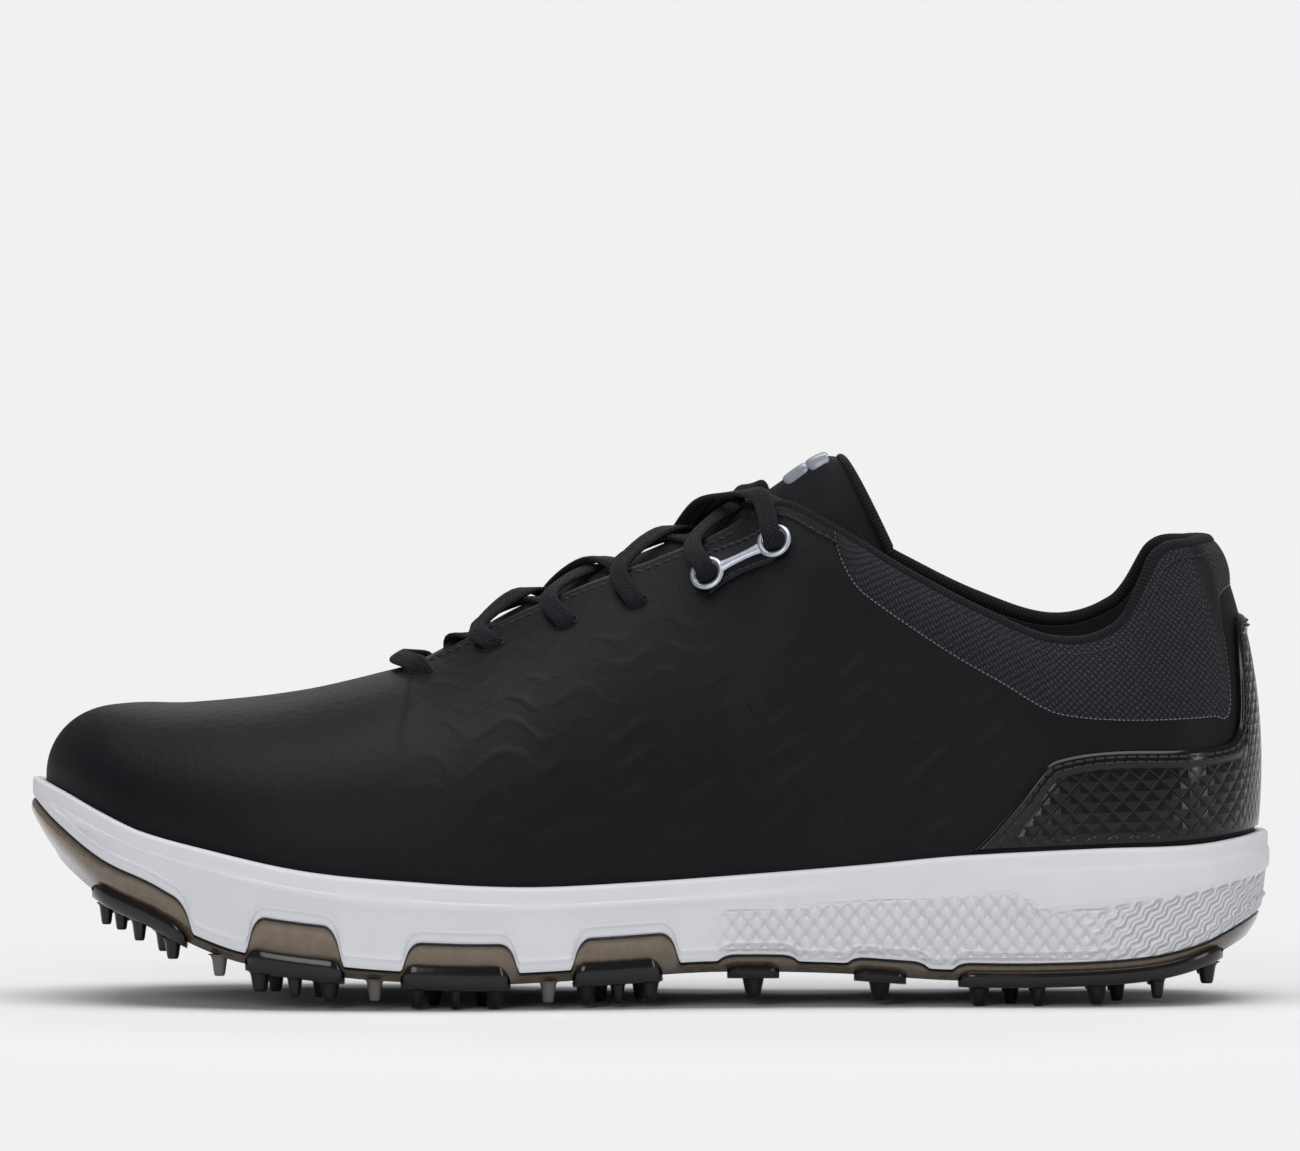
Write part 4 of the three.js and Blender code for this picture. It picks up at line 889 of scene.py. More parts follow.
def dress(piece, look):
    made, slot = LOOKS[look]
    piece.data.materials.clear()
    piece.data.materials.append(made.material)
    return piece


def joined(name, parts, look, body="shoe", replaces=()):
    """One dressed piece from several (points, faces, uv)."""
    points, faces, uv = merged(parts)
    return dress(make(name, points, faces, body, replaces, uv), look)


# ---------------------------------------------------------------- sole

WALL_INSET = 2.2
PLATE_INSET = 3.6
TOE_PLATE_INSET = 5.2
CHAMFER = 1.2
CORE_INSET = 12
CORE_SHARE = 0.45
PAD_INSET = 6.5
SOLE_SHARP = 38
ROUND = np.linspace(-1, 1, 1441)


def plate_edge(u):
    return mix(PLATE_INSET, TOE_PLATE_INSET, smooth(0.8, 1, np.abs(u)))


def wall_inset():
    """How far in the outsole's wall stands; it is flush with the foam at the toe."""
    return mix(WALL_INSET, 0.3, smooth(0.78, 0.95, np.abs(ROUND)))


def ring(inset, height, share=0.0):
    place = outline(ROUND, np.broadcast_to(np.asarray(inset, float), ROUND.shape))
    place[:, 1] *= 1 - share
    place[:, 2] = height(place[:, 0])
    return place


def stacked(name, rings, look, replaces, weights=None):
    """A closed body from rings, from the middle of its underside round to that of its top."""
    grid = np.stack(rings, axis=1)
    points = grid.reshape(-1, 3)
    rows, columns = grid.shape[:2]
    faces = grid_quads(rows, columns)
    for i in range(rows // 2):
        across = dict.fromkeys((i, i + 1, rows - 2 - i, rows - 1 - i))
        faces += [[row * columns + column for row in across] for column in (0, columns - 1)]
    uv = flat_map(grid).reshape(-1, 2)
    uv[:, 1] = grid[..., 2].ravel()
    values = {k: f(grid) for k, f in (weights or {}).items()}
    return dress(make(name, points, faces, "shoe", replaces, uv, values, SOLE_SHARP), look)


def outsole_piece():
    edge = plate_edge(ROUND)
    wall = []
    for t in np.linspace(0, 1, 9):
        bulge = (0.25 + 2.4 * smooth(0.8, 1, np.abs(ROUND))) * math.sin(math.pi * t)
        wall.append(ring(
            mix(edge, wall_inset(), t) - bulge,
            lambda x: mix(plate_bottom(x) + CHAMFER, wall_top(x) - WALL_GAP - 0.4, t)))
    rings = [
        ring(edge + CORE_INSET, plate_bottom, CORE_SHARE),
        ring(edge + CHAMFER, plate_bottom),
        *wall,
        ring(wall_inset() + 0.5, lambda x: wall_top(x) - WALL_GAP),
        ring(WALL_INSET + WALL, lambda x: wall_top(x) - WALL_GAP),
        ring(edge + WALL, plate_top),
        ring(edge + CORE_INSET, plate_top, CORE_SHARE),
    ]

    # Height above the plate; the wall's colour uses it to grow lighter up the wall and darker towards the
    # plate.
    def rise(grid):
        return (grid[..., 2] - plate_bottom(grid[..., 0])) / 9

    # Falls to 0 just under the wall's top edge; the wall's colour uses it as a painted shadow of the foam lip
    # above.
    def rim(grid):
        below = wall_top(grid[..., 0]) - grid[..., 2]
        return smooth(0.3, 1.5, below)

    return stacked("outsole_shell", rings, "smoky", ("outsole",), {"rise": rise, "rim": rim})


# Where the heel's smooth rail starts, and the moulded line along the side: [x, height].
RAIL_LOW = [(60, 21), (94, 23.4), (125, 27.2), (152, 32.4)]
SCALE_HIGH = [(0, 23.6), (20, 24.6), (60, 27.2), (90, 28.9)]
SIDE_LINE = [(-150, 48), (-132, 41), (-84, 27.5), (-36, 23.8), (12, 25.6), (60, 28)]
LIP_OVER_WINDOW = 2.7


def side_relief(x, z):
    """How far the midsole's side stands out, from its lips, lines and rail."""
    lip = 0.8 * np.exp(-(((z - wall_top(x) - LIP_OVER_WINDOW) / 0.55) ** 2))
    line = along(SIDE_LINE, x)[..., 0]
    step = 0.75 * smooth(-0.7, 0.7, z - line) * (1 - smooth(20, 55, x))
    rail = along(RAIL_LOW, x)[..., 0]
    band = 0.7 * smooth(-0.6, 0.6, z - rail) * smooth(78, 96, x)
    return (lip + step) * smooth(-149, -138, x) + band


def midsole_piece():
    def floor(x):
        return plate_top(x) + GAP

    skirt = mix(1.6, 0.1, smooth(0.78, 0.95, np.abs(ROUND)))
    crown, edge_round = 4, 1.2
    edge = plate_edge(ROUND)
    side = []
    for t in np.linspace(0, 1, 46):
        base = outline(ROUND, np.zeros(ROUND.shape))
        z = mix(wall_top(base[:, 0]), rim_top(base[:, 0]) - crown, t)
        start = 0.5 * (1 - smooth(0, 0.05, t))
        ease = math.sin(math.pi * min(1, t * 1.02)) ** 0.25
        inset = skirt * (1 - t) ** 1.3 + start - side_relief(base[:, 0], z) * ease
        place = outline(ROUND, inset)
        place[:, 2] = mix(wall_top(place[:, 0]), rim_top(place[:, 0]) - crown, t)
        side.append(place)
    corner = [
        ring(edge_round * (1 - math.cos(a)), lambda x: rim_top(x) - edge_round + edge_round * math.sin(a))
        for a in np.linspace(0, math.pi / 2, 7)
    ]
    rings = [
        ring(edge + CORE_INSET, floor, CORE_SHARE),
        ring(edge + WALL + GAP, floor),
        ring(WALL_INSET + WALL + GAP, wall_top),
        *side,
        ring(0.0, lambda x: rim_top(x) - 0.5 * (crown + edge_round)),
        *corner,
        ring(RIM, rim_top),
        ring(RIM, bed_height),
        ring(CORE_INSET + RIM, bed_height, CORE_SHARE),
    ]

    def chevron(grid):
        x, z = grid[..., 0], grid[..., 2]
        under_rail = 1 - smooth(-1.6, -0.4, z - along(RAIL_LOW, x)[..., 0])
        return smooth(100, 122, x) * under_rail * smooth(0.8, 2.2, z - wall_top(x) + 1.5)

    def scale(grid):
        x, z = grid[..., 0], grid[..., 2]
        high = mix(along(SCALE_HIGH, x)[..., 0], along(RAIL_LOW, x)[..., 0], smooth(86, 99, x))
        under_top = 1 - smooth(-1.4, -0.3, z - high)
        return smooth(12, 22, x) * (1 - smooth(104, 124, x)) * under_top * smooth(0.6, 1.8, z - wall_top(x))

    return stacked("midsole_body", rings, "foam", ("midsole",), {"chevron": chevron, "scale": scale})


def insole_piece():
    base = STROBEL + 2 * FOOTBED_GAP
    inset = RIB_DEPTH + STIFFENER + 2 * GAP + LINING + FEATHER + FOOTBED_GAP - GAP

    def low(x):
        return bed_height(x) + base

    def top(x):
        return bed_height(x) + base + INSOLE

    rings = [
        ring(inset + CORE_INSET, low, CORE_SHARE),
        ring(inset + 0.2, low),
        ring(inset, lambda x: low(x) + 1),
    ]
    rings += [ring(inset + 0.6 * (1 - math.cos(a)), lambda x: top(x) - 1.2 + 1.2 * math.sin(a))
              for a in np.linspace(0, math.pi / 2, 6)]
    rings += [ring(inset + k, top, k / 40) for k in (3, 6, 9)] + [ring(inset + CORE_INSET, top, CORE_SHARE)]
    return stacked("insole_body", rings, "insole", ("insole",))


# ---------------------------------------------------------------- traction pods

# Lugs: [share along the pod, share across it, radius].
FOREFOOT_LUGS = [(0.15, 0.2, 2.4), (0.5, 0.18, 1.8), (0.85, 0.2, 2.4), (0.3, 0.75, 2), (0.75, 0.75, 2)]
HEEL_LUGS = [
    (0.08, 0.2, 2.4), (0.3, 0.2, 1.8), (0.52, 0.2, 2.4), (0.75, 0.2, 1.8), (0.94, 0.25, 2.2),
    (0.2, 0.75, 2), (0.6, 0.75, 2),
]
TOE_LUGS = [(0.15, 0.12, 1.7), (0.5, 0.1, 1.8), (0.85, 0.1, 2), (0.3, 0.6, 1.8), (0.75, 0.55, 2)]
PEG_LUGS = [(0.5, 0.5, 2.6)]
LUG_TAPER = 0.68
LOBE_PEGS = (-103.7, -66.2, -24.5)
# Pods: [name, start, end, outer inset, inner inset, rise up the wall, lugs].
PODS = [
    ("toe_pod", -0.45, -0.372, 6.5, 25, 3.2, TOE_LUGS),
    ("forefoot_pod_1", -0.325, -0.245, 6, 26, 4.2, FOREFOOT_LUGS),
    ("forefoot_pod_2", -0.2, -0.112, 6, 26, 4.4, FOREFOOT_LUGS),
    ("forefoot_pod_3", -0.062, 0.01, 6, 26, 4.2, FOREFOOT_LUGS),
    ("arch_pod_1", 0.062, 0.104, 6, 17, 1.4, PEG_LUGS),
    ("arch_pod_2", 0.164, 0.206, 6, 17, 1.4, PEG_LUGS),
    ("heel_pod", 0.248, 0.462, 6, 22, 2.3, HEEL_LUGS),
]


def outline_at_x(x, side, inset):
    """The place at a given x on one side's outline, at an inset."""
    x = np.asarray(x, float)
    low, high = np.zeros(x.shape), np.ones(x.shape)
    for _ in range(30):
        middle = (low + high) / 2
        ahead = outline(side * middle, np.full(x.shape, float(inset)))[..., 0] > x
        low, high = np.where(ahead, middle, low), np.where(ahead, high, middle)
    return outline(side * low, np.full(x.shape, float(inset)))


def lug_part(x, y, radius, shorter=0.0):
    root = float(plate_bottom(x)) - POD_GAP - PAD * 0.5 + shorter
    tip = max(0.0, float(plate_bottom(x)) - POD_GAP - PAD - LUG_HEIGHT + shorter)
    height = root - tip
    end = radius * LUG_TAPER
    profile = [
        (radius * 1.5, 0), (radius * 1.12, 0.5), (radius * 0.98, 1.2), (mix(radius, end, 0.8), height - 0.9),
        (end, height - 0.35), (end * 0.82, height), (0, height),
    ]
    return lathe(profile, np.array([x, y, root]), (0, 0, -1), 22)


def pod_piece(pod, side, word):
    name, start, end, outer, inner, wall_rise, lugs = pod
    ease = 0.5 - 0.5 * np.cos(np.linspace(0, math.pi, 49))
    xs = mix(start, end, ease) * SHOE_LENGTH
    near = outline_at_x(xs, side, outer)[:, 1]
    wall = outline_at_x(xs, side, 0)[:, 1]
    far = side * (np.abs(near) - (inner - outer))
    bottom = plate_bottom(xs)
    from_end = np.clip(np.minimum(xs - xs[0], xs[-1] - xs) / 3.5, 0, 1)
    full = np.sqrt(1 - (1 - from_end) ** 2)
    ledge = wall_rise * full
    tuck = side * 3 * (1 - full)
    under = bottom - POD_GAP
    section = [
        (wall - side * 1.9 - tuck, bottom + ledge),
        (wall - side * 1.45 - tuck, bottom + 0.75 * ledge),
        (wall - side * 1.4 - tuck, bottom + 0.35 * ledge),
        (wall - side * 1.9 - tuck, bottom - 0.2),
        (wall - side * 2.8 - tuck, under - PAD * 0.55),
        (wall - side * 3.9 - tuck, under - PAD * 0.9),
        (wall - side * 5.2 - tuck / 2, under - PAD),
        (mix(near, far, 0.5), under - PAD),
        (far + side * 0.8, under - PAD),
        (far, under - PAD * 0.5),
        (far, under),
        (wall - side * 5.0, under),
        (wall - side * 3.7, bottom + 0.9),
        (wall - side * 2.9, bottom + ledge),
    ]
    grid = np.stack([vec(xs, y, z) for y, z in [*section, section[0]]], axis=1)
    rows, columns = grid.shape[:2]
    faces = grid_quads(rows, columns)
    faces += [tuple(range(columns - 1)), tuple(range((rows - 1) * columns, rows * columns - 1))]
    parts = [(grid.reshape(-1, 3), faces, flat_map(grid).reshape(-1, 2))]
    for along_share, across_share, radius in lugs:
        x = mix(start, end, along_share) * SHOE_LENGTH
        edge = float(outline_at_x(x, side, outer)[1])
        parts.append(lug_part(x, edge - side * across_share * (inner - outer), radius))
    node = f"{name}_{word}"
    return joined(f"{node}_tread", parts, "rubber", replaces=(node,))


def lobe_pegs():
    """Small clear pegs under the midsole's lobes, between the pods."""
    parts = []
    for side in (-1, 1):
        for x in LOBE_PEGS:
            edge = float(outline_at_x(x, side, PAD_INSET)[1])
            parts.append(lug_part(x, edge, 1.9, 1.4))
    return joined("lobe_pegs", parts, "clear")


# ---------------------------------------------------------------- upper

def at_surface(u, v):
    return 0 * u


def under_shell(u, v):
    return 0 * u + SHELL


def shell_top(u):
    size = np.abs(u)
    top = np.where(size < STITCH, throat_top(u), 1.0)
    top = np.where(size < BINDING_END + 0.0035, collar_top(u), top)
    return np.where(size < MESH_END, mesh_edge(u), top)


def shell_piece():
    turn = MESH_END - MESH_TURN * (1 - np.cos(np.linspace(0, math.pi / 2, 16)))
    stations = np.unique(np.concatenate([np.linspace(-1, 1, 601), turn, -turn, [-STITCH, STITCH]]))
    share = np.concatenate([[SHELL_FOOT], np.linspace(0, 1, 64)])

    def rows(u):
        v = share[None, :] * shell_top(u)[:, None]
        v[:, 0] = SHELL_FOOT
        return v

    def emboss(u, v, place):
        x, z = place[..., 0], place[..., 2]
        ahead = smooth(-70, -30, x) * (1 - smooth(70, 100, x))
        return ahead * smooth(32, 44, z) * (1 - smooth(80, 100, z)) * smooth(0.04, 0.12, v)

    piece = layer_piece("upper_skin", stations, rows, at_surface, under_shell, "shoe",
                        ("upper_shell",), {"emboss": emboss}, closed_from=STITCH)
    return dress(piece, "upper")


def mesh_piece():
    stations = np.sin(np.linspace(-1, 1, 281) * math.pi / 2) * MESH_END
    rows = rows_between(mesh_edge, collar_top, 40)

    def bulge(u, v):
        low, high = mesh_edge(u[:, 0])[:, None], collar_top(u[:, 0])[:, None]
        t = np.clip((v - low) / np.maximum(high - low, 1e-6), 0, 1)
        return 1.1 * np.sin(np.pi * t) ** 0.7

    piece = layer_piece("collar_panel", stations, rows, at_surface, under_shell, "shoe",
                        ("collar_mesh",), bulge=bulge)
    edge_u = np.sin(np.linspace(-1, 1, 900) * math.pi / 2) * MESH_END
    v = mesh_edge(edge_u)
    # Tiny pale dots along the mesh's lower edge; their pale colour is a painted highlight of light catching
    # the cut edge.
    edge_highlight_dots = stitches(layer(edge_u, v, -0.05), -inward_normal(edge_u, v), 1.15, 0.6, 0.13)
    joined("collar_edge_highlight", edge_highlight_dots, "painted edge highlight")
    return dress(piece, "mesh")


def pad_bulge(u, v):
    share = np.clip((v - 0.5) / 0.47, 0, 1)
    fade = 1 - smooth(0.3, 0.38, np.abs(u))
    return STIFFENER + (PADDING - STIFFENER) * fade * np.sin(np.pi * share)


def lining_piece():
    close_from = 0.745
    stations = np.linspace(-1, 1, 361)

    def high(u):
        size = np.abs(u)
        throat = mix(0.77, 0.9, smooth(0.7, close_from, size))
        top = mix(collar_top(u), throat, smooth(0.36, 0.4, size))
        return np.where(size >= close_from, 1.0, top)

    def rows(u):
        v = np.linspace(-0.46, 1, 42)[None, :] * np.ones((len(u), 1))
        return np.where(v > 0, v * high(u)[:, None], v)

    def depth(u, v):
        return RIB_DEPTH + pad_bulge(u, v) + GAP

    piece = layer_piece("lining_skin", stations, rows, depth, lambda u, v: depth(u, v) + LINING, "shoe",
                        ("lining",), closed_from=close_from)
    return dress(piece, "lining")


def overlay_piece():
    limit = 0.276
    stations = np.linspace(-limit, limit, 331)
    border, step = 3.4, 0.6
    rows = rows_between(lambda u: 0 * u + 0.02, lambda u: at_height(u, OVERLAY_HIGH(u)), 44)

    def edge_distance(u, v):
        down = OVERLAY_HIGH(u) - surface(u, v)[..., 2]
        run = lengths(surface(u[:, :1], 0.3 + 0 * u[:, :1]), 0)[:, 0]
        rise = np.abs(np.gradient(OVERLAY_HIGH(u[:, 0]), run))
        return down / np.sqrt(1 + rise[:, None] ** 2)

    def lift(u, v):
        distance = edge_distance(u, v)
        return step * (1 - smooth(border - 0.5, border + 0.5, distance)) * smooth(0, 0.8, distance)

    def field(u, v, place):
        return smooth(border + 0.4, border + 2.4, edge_distance(u, v)) * smooth(0.02, 0.06, v)

    piece = layer_piece("heel_film", stations, rows, lambda u, v: 0 * u - GAP - OVERLAY + 0.6,
                        lambda u, v: 0 * u - GAP * 0.3, "shoe", ("heel_overlay",), {"field": field},
                        bulge=lift)
    dress(piece, "film")
    inside = np.linspace(-limit + 0.02, limit - 0.02, 420)
    run = lengths(surface(inside[:, None], 0.3), 0)[:, 0]
    slant = np.sqrt(1 + np.gradient(OVERLAY_HIGH(inside), run) ** 2)
    parts = []
    for distance in (1.4, 2.6):
        v = at_height(inside, OVERLAY_HIGH(inside) - distance * slant)
        parts += stitches(layer(inside, v, -GAP - OVERLAY + 0.6 - step), -inward_normal(inside, v))
    return joined("heel_stitching", parts, "thread")


def edge_line(stations, distance, depth):
    v = from_top(stations, distance)
    return layer(stations, v, depth), inward_normal(stations, v)


def binding_piece():
    stations = np.linspace(-BINDING_END, BINDING_END, 321)
    places, across = edge_line(stations, BINDING_RADIUS, BINDING_RADIUS)
    run = unit(np.gradient(places, axis=0))
    across = unit(across - run * np.sum(across * run, axis=-1, keepdims=True))
    bar = sweep(places, across, np.cross(run, across), round_section(BINDING_RADIUS * 1.05, 18))
    joined("collar_tape", [bar], "tape", replaces=("collar_binding",))
    inside = np.linspace(-BINDING_END + 0.01, BINDING_END - 0.01, 300)
    seam, normal = edge_line(inside, 2 * BINDING_RADIUS + 1.1, 0)
    return joined("collar_stitching", stitches(seam - normal * 0.5, -normal, 2.2, 1.5, 0.24), "thread")


def piping_piece():
    half = np.linspace(BINDING_END + 0.0045, 0.687, 120)
    front = layer(THROAT_FRONT, 1.0, PIPING_RADIUS) + np.array([PIPING_RADIUS, 0, 0])
    left, _ = edge_line(-half, PIPING_RADIUS, PIPING_RADIUS)
    right, _ = edge_line(half, PIPING_RADIUS, PIPING_RADIUS)
    places = np.concatenate([left, front[None], right[::-1]])
    frames = frames_along(places, np.tile([0, 0, 1.0], (len(places), 1)))
    bar = sweep(*frames, round_section(PIPING_RADIUS * 1.15, 12))
    joined("throat_roll", [bar], "piping", replaces=("throat_piping",))
    parts = []
    for side in (-1, 1):
        seam, normal = edge_line(np.linspace(0.445, 0.682, 160) * side, 2.6, 0)
        parts += stitches(seam, -normal, 2.4, 1.7, 0.2)
    return joined("throat_stitching", parts, "thread")


# ---------------------------------------------------------------- tongue

# Stations along the tongue: [share, x, height, half width, fall to the sides, thickness].
TONGUE = [
    (0, -0.213, 0.625, 13, 0.02, 2), (0.06, -0.19, 0.643, 14, 0.03, 2.2),
    (0.13, -0.16, 0.683, 16, 0.04, 2.8), (0.22, -0.127, 0.746, 17, 0.04, 3.4),
    (0.38, -0.06, 0.826, 18.5, 0.036, 4), (0.54, 0.008, 0.895, 19, 0.03, 4),
    (0.68, 0.06, 0.952, 19, 0.032, 4.5), (0.78, 0.093, 1.0, 19, 0.038, 5.2),
    (0.9, 0.13, 1.062, 20, 0.045, 6), (1, 0.152, 1.084, 18, 0.05, 5.4),
]
# How the free end's corners sweep back, drop, flatten and draw in.
END_SWEEP = 3
END_DROP = 20
END_FLAT = 0.55
END_NARROW = 0.08


def tongue_middle(s):
    x, z, half, fall, thick = np.moveaxis(along(TONGUE, s), -1, 0)
    return vec(x * SHOE_LENGTH, 0, z * QUARTER_HEIGHT), half, fall, thick


def tongue_place(s, w, share):
    s, w, share = np.broadcast_arrays(*(np.asarray(a, float) for a in (s, w, share)))
    step = 0.01
    place, half, fall, thick = tongue_middle(s)
    run = unit(tongue_middle(np.minimum(1, s + step))[0] - tongue_middle(np.maximum(0, s - step))[0])
    down = vec(run[..., 2], 0, -run[..., 0])
    near_end = smooth(0.8, 1, s)
    fall = fall * (1 - END_FLAT * near_end)
    y = w * half * (1 - END_NARROW * near_end)
    side = unit(vec(0, -2 * fall * y, 0) + down)
    drop = (share * thick * (1 - 0.4 * w * w))[..., None]
    back = run * (END_SWEEP * near_end * w**2)[..., None]
    fallen = fall * y * y + END_DROP * near_end * w**4
    return place + vec(0, y, 0) + down * fallen[..., None] + side * drop + back


def tongue_piece():
    s, w = np.meshgrid(np.linspace(0, 1, 150), np.linspace(-1, 1, 50), indexing="ij")
    edge = np.minimum(1, (1 - np.abs(w)) * 6) ** 0.5
    end = np.minimum(1, (1 - s) * 14) ** 0.5
    plump = np.maximum(edge * end, 0.12)
    outer = tongue_place(s, w, 0.5 - 0.5 * plump)
    inner = tongue_place(s, w, 0.5 + 0.5 * plump)
    points, faces = slab(outer, inner)
    uv = flat_map(outer).reshape(-1, 2)
    piece = make("tongue", points, faces, None, (), np.concatenate([uv, uv]))
    dress(piece, "tongue")
    start, end = tongue_middle(0.7)[0] * MM, tongue_middle(0.8)[0] * MM
    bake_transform(piece)
    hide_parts("tongue_lower", "tongue_top")
    w = np.linspace(-1, 1, 90)
    rim = tongue_place(0.997, w, 0.5)
    along_tongue = tongue_place(1.0, w, 0.5) - tongue_place(0.97, w, 0.5)
    bar = sweep(*frames_along(rim, along_tongue), round_section(1.3, 16, 1.25))
    return joined("tongue_tape", [bar], "tape", "tongue_flap")


def badge_piece():
    """Two plain rounded bars on the tongue's face."""
    parts = []
    for centre, length, half_width in ((0.855, 0.03, 0.34), (0.92, 0.036, 0.4)):
        s, w = np.meshgrid(np.linspace(-1, 1, 16), np.linspace(-1, 1, 24), indexing="ij")
        oval = (np.maximum(0.0, 1 - s**6)) ** 0.5
        share = centre + length * s
        across = half_width * w * mix(0.7, 1, oval)
        top = tongue_place(share, across, 0)
        out = unit(top - tongue_place(share, across, 1))
        crown = (1 - s**4) * (1 - w**6)
        outer = top + out * (0.15 + BADGE / 2 * np.maximum(crown, 0) ** 0.4)[..., None]
        points, faces = slab(outer, top - out * 0.4)
        parts.append((points, faces, np.tile(flat_map(outer).reshape(-1, 2), (2, 1))))
    return joined("tongue_patch", parts, "badge", "tongue_flap", ("tongue_badge",))


# ---------------------------------------------------------------- lace

LACE_ROWS = [(0.672, 8), (0.617, 9), (0.562, 11), (0.512, 12), (0.462, 12.5), (0.42, 13.5)]
FIRST_RING = 4
INSIDE = RIB_DEPTH + STIFFENER + 3 * GAP + LACE_THICKNESS / 2
OUTSIDE = -(1.5 * GAP + LACE_THICKNESS / 2)
PATCH_DEPTH = -GAP - PATCH
LINK_DEPTH = PATCH_DEPTH - 2.4 * GAP
OVER_LINK = LINK_DEPTH - LINK_THICKNESS - GAP - LACE_THICKNESS / 2 - 1.6
OVER_BINDING = OUTSIDE - BINDING_RADIUS
UNDER_BINDING = 2 * (BINDING_RADIUS + GAP) + LACE_THICKNESS / 2
EDGE_SHARE = 0.995
FIRST_PASS = 0.655
EDGE_STEP = 0.006
VAMP_PLACE = 0.705
# The front pass over the vamp: how far back and up it stands, its tilt and its places across.
BAR_BACK = 2.4
BAR_LIFT = 2.2
BAR_TILT = np.array([0.85, 0, 0.53])
BAR_PLACES = (5, 0, -5)
STANDING = 6
LACE_STEPS = 8
LACE_SHARP = 70
OUTER_TAIL = [
    (19, -8, 122.5), (12, 4, 119.5), (5, 12.4, 107.8), (6, 16.8, 100.6), (9, 22.5, 86),
    (12, 24, 60), (8, 20, 42), (-10, 14, 36.4), (-40, 12, 35.6), (-62, 14, 36.2),
]
INNER_TAIL = [
    (22.5, 17.8, 121.8), (19.4, 15, 114.4), (20, 19.6, 107.5), (22, 22.6, 98),
    (25, 26, 80), (24, 24.5, 60), (18, 12, 42), (0, 2, 36.4), (-26, -2, 35.2), (-50, -4, 35.4),
]


def row_place(row, side, depth):
    u, distance = LACE_ROWS[row]
    return layer(side * u, from_top(side * u, distance), depth)


def tongue_top(x):
    shares = np.linspace(0, 1, 2001)
    middle = tongue_middle(shares)[0]
    return float(np.interp(x, middle[:, 0], middle[:, 2]))


def edge_run(u, side):
    step = 0.01
    return unit(top_line(side * (u - step)) - top_line(side * (u + step)))


def half_lace(first_side, level):
    """Half of the lace, from its first slot beside the vamp to where it leaves the last ring."""
    stack = LACE_THICKNESS / 2 + GAP + level * (LACE_THICKNESS + 2 * GAP)
    last = len(LACE_ROWS) - 1
    side = first_side
    line = []

    def at_row(row, depth):
        line.append((row_place(row, side, depth), edge_run(LACE_ROWS[row][0], side)))

    def at_edge(u, depth):
        line.append((layer(side * u, EDGE_SHARE, depth), edge_run(u, side)))

    at_row(0, OUTSIDE)
    at_row(0, INSIDE)
    at_edge(FIRST_PASS, INSIDE)
    for row in range(1, last + 1):
        u = LACE_ROWS[row][0]
        before = top_line(side * LACE_ROWS[row - 1][0])[0]
        side = -side
        x = (before + top_line(side * u)[0]) / 2
        line.append((np.array([x, 0, tongue_top(x) + stack]), np.array([1.0, 0, 0])))
        at_edge(u, INSIDE if row < last else UNDER_BINDING)
        at_row(row, INSIDE)
        at_row(row, OUTSIDE if row < FIRST_RING else OVER_LINK)
        at_edge(u + EDGE_STEP, OUTSIDE - GAP if row < last else OVER_BINDING)
    return line


def lace_line():
    vamp = layer(VAMP_PLACE, 1.0, OUTSIDE)
    bar = [(vec(vamp[0] + BAR_BACK, y, vamp[2] + BAR_LIFT), BAR_TILT) for y in BAR_PLACES]

    def tail(places):
        return [(np.array(p, float), np.array([1.0, 0, 0]) if i < STANDING else np.array([0, 1.0, 0]))
                for i, p in enumerate(places)]

    line = tail(OUTER_TAIL)[::-1] + half_lace(1, 1)[::-1] + bar + half_lace(-1, 0) + tail(INNER_TAIL)
    return np.array([p for p, _ in line]), np.array([h for _, h in line])


def lace_section():
    half, thick = LACE_WIDTH / 2, LACE_THICKNESS / 2
    angle = np.linspace(0, 2 * math.pi, 20, endpoint=False)
    c, s = np.cos(angle), np.sin(angle)
    return np.stack([half * np.sign(c) * np.abs(c) ** 0.7, thick * np.sign(s) * np.abs(s) ** 0.75], axis=1)


def lace_piece():
    places, hints = lace_line()
    fine, fine_hints = resample(places, LACE_STEPS), resample(hints, LACE_STEPS)
    points, faces, uv = sweep(*frames_along(fine, fine_hints), lace_section())
    piece = dress(make("lace_weave", points, faces, "shoe", ("lace",), uv, sharp=LACE_SHARP), "lace")
    length = np.linalg.norm(np.diff(fine, axis=0), axis=1).sum()
    tips = []
    ends = (("lateral", fine[0], fine[0] - fine[3]), ("medial", fine[-1], fine[-1] - fine[-4]))
    r = TIP_RADIUS
    profile = [
        (0, -0.4), (r * 0.9, -0.4), (r, 0.2), (r, 1), (r * 0.92, 1.3), (r * 0.92, TIP_LENGTH - 1.6),
        (r * 0.8, TIP_LENGTH - 0.6), (r * 0.4, TIP_LENGTH), (0, TIP_LENGTH),
    ]
    for word, end, run in ends:
        sleeve = lathe(profile, end + unit(run) * GAP, run, 18)
        node = f"lace_tip_{word}"
        tips.append(joined(f"{node}_sleeve", [sleeve], "tip", replaces=(node,)))
    return piece, tips, fine, length


def slot_pieces():
    """The dark pressed rims of the slots that the lace runs through."""
    parts = []
    for side in (-1, 1):
        for row in range(FIRST_RING):
            u, distance = LACE_ROWS[row]
            centre = row_place(row, side, -0.05)
            normal = -inward_normal(side * u, from_top(side * u, distance))
            run = edge_run(u, side)
            run = unit(run - normal * np.dot(run, normal))
            other = np.cross(normal, run)
            angle = np.linspace(0, 2 * math.pi, 41)
            long, short = LACE_WIDTH / 2 + 0.7, LACE_THICKNESS / 2 + 0.55
            oval = (run * (long * np.sign(np.cos(angle)) * np.abs(np.cos(angle)) ** 0.6)[:, None]
                    + other * (short * np.sin(angle))[:, None])
            places = centre + oval
            frames = frames_along(places, np.tile(normal, (len(places), 1)))
            parts.append(sweep(*frames, round_section(0.3, 8), loop=True))
    return joined("slot_rims", parts, "patch")


# ---------------------------------------------------------------- lace links


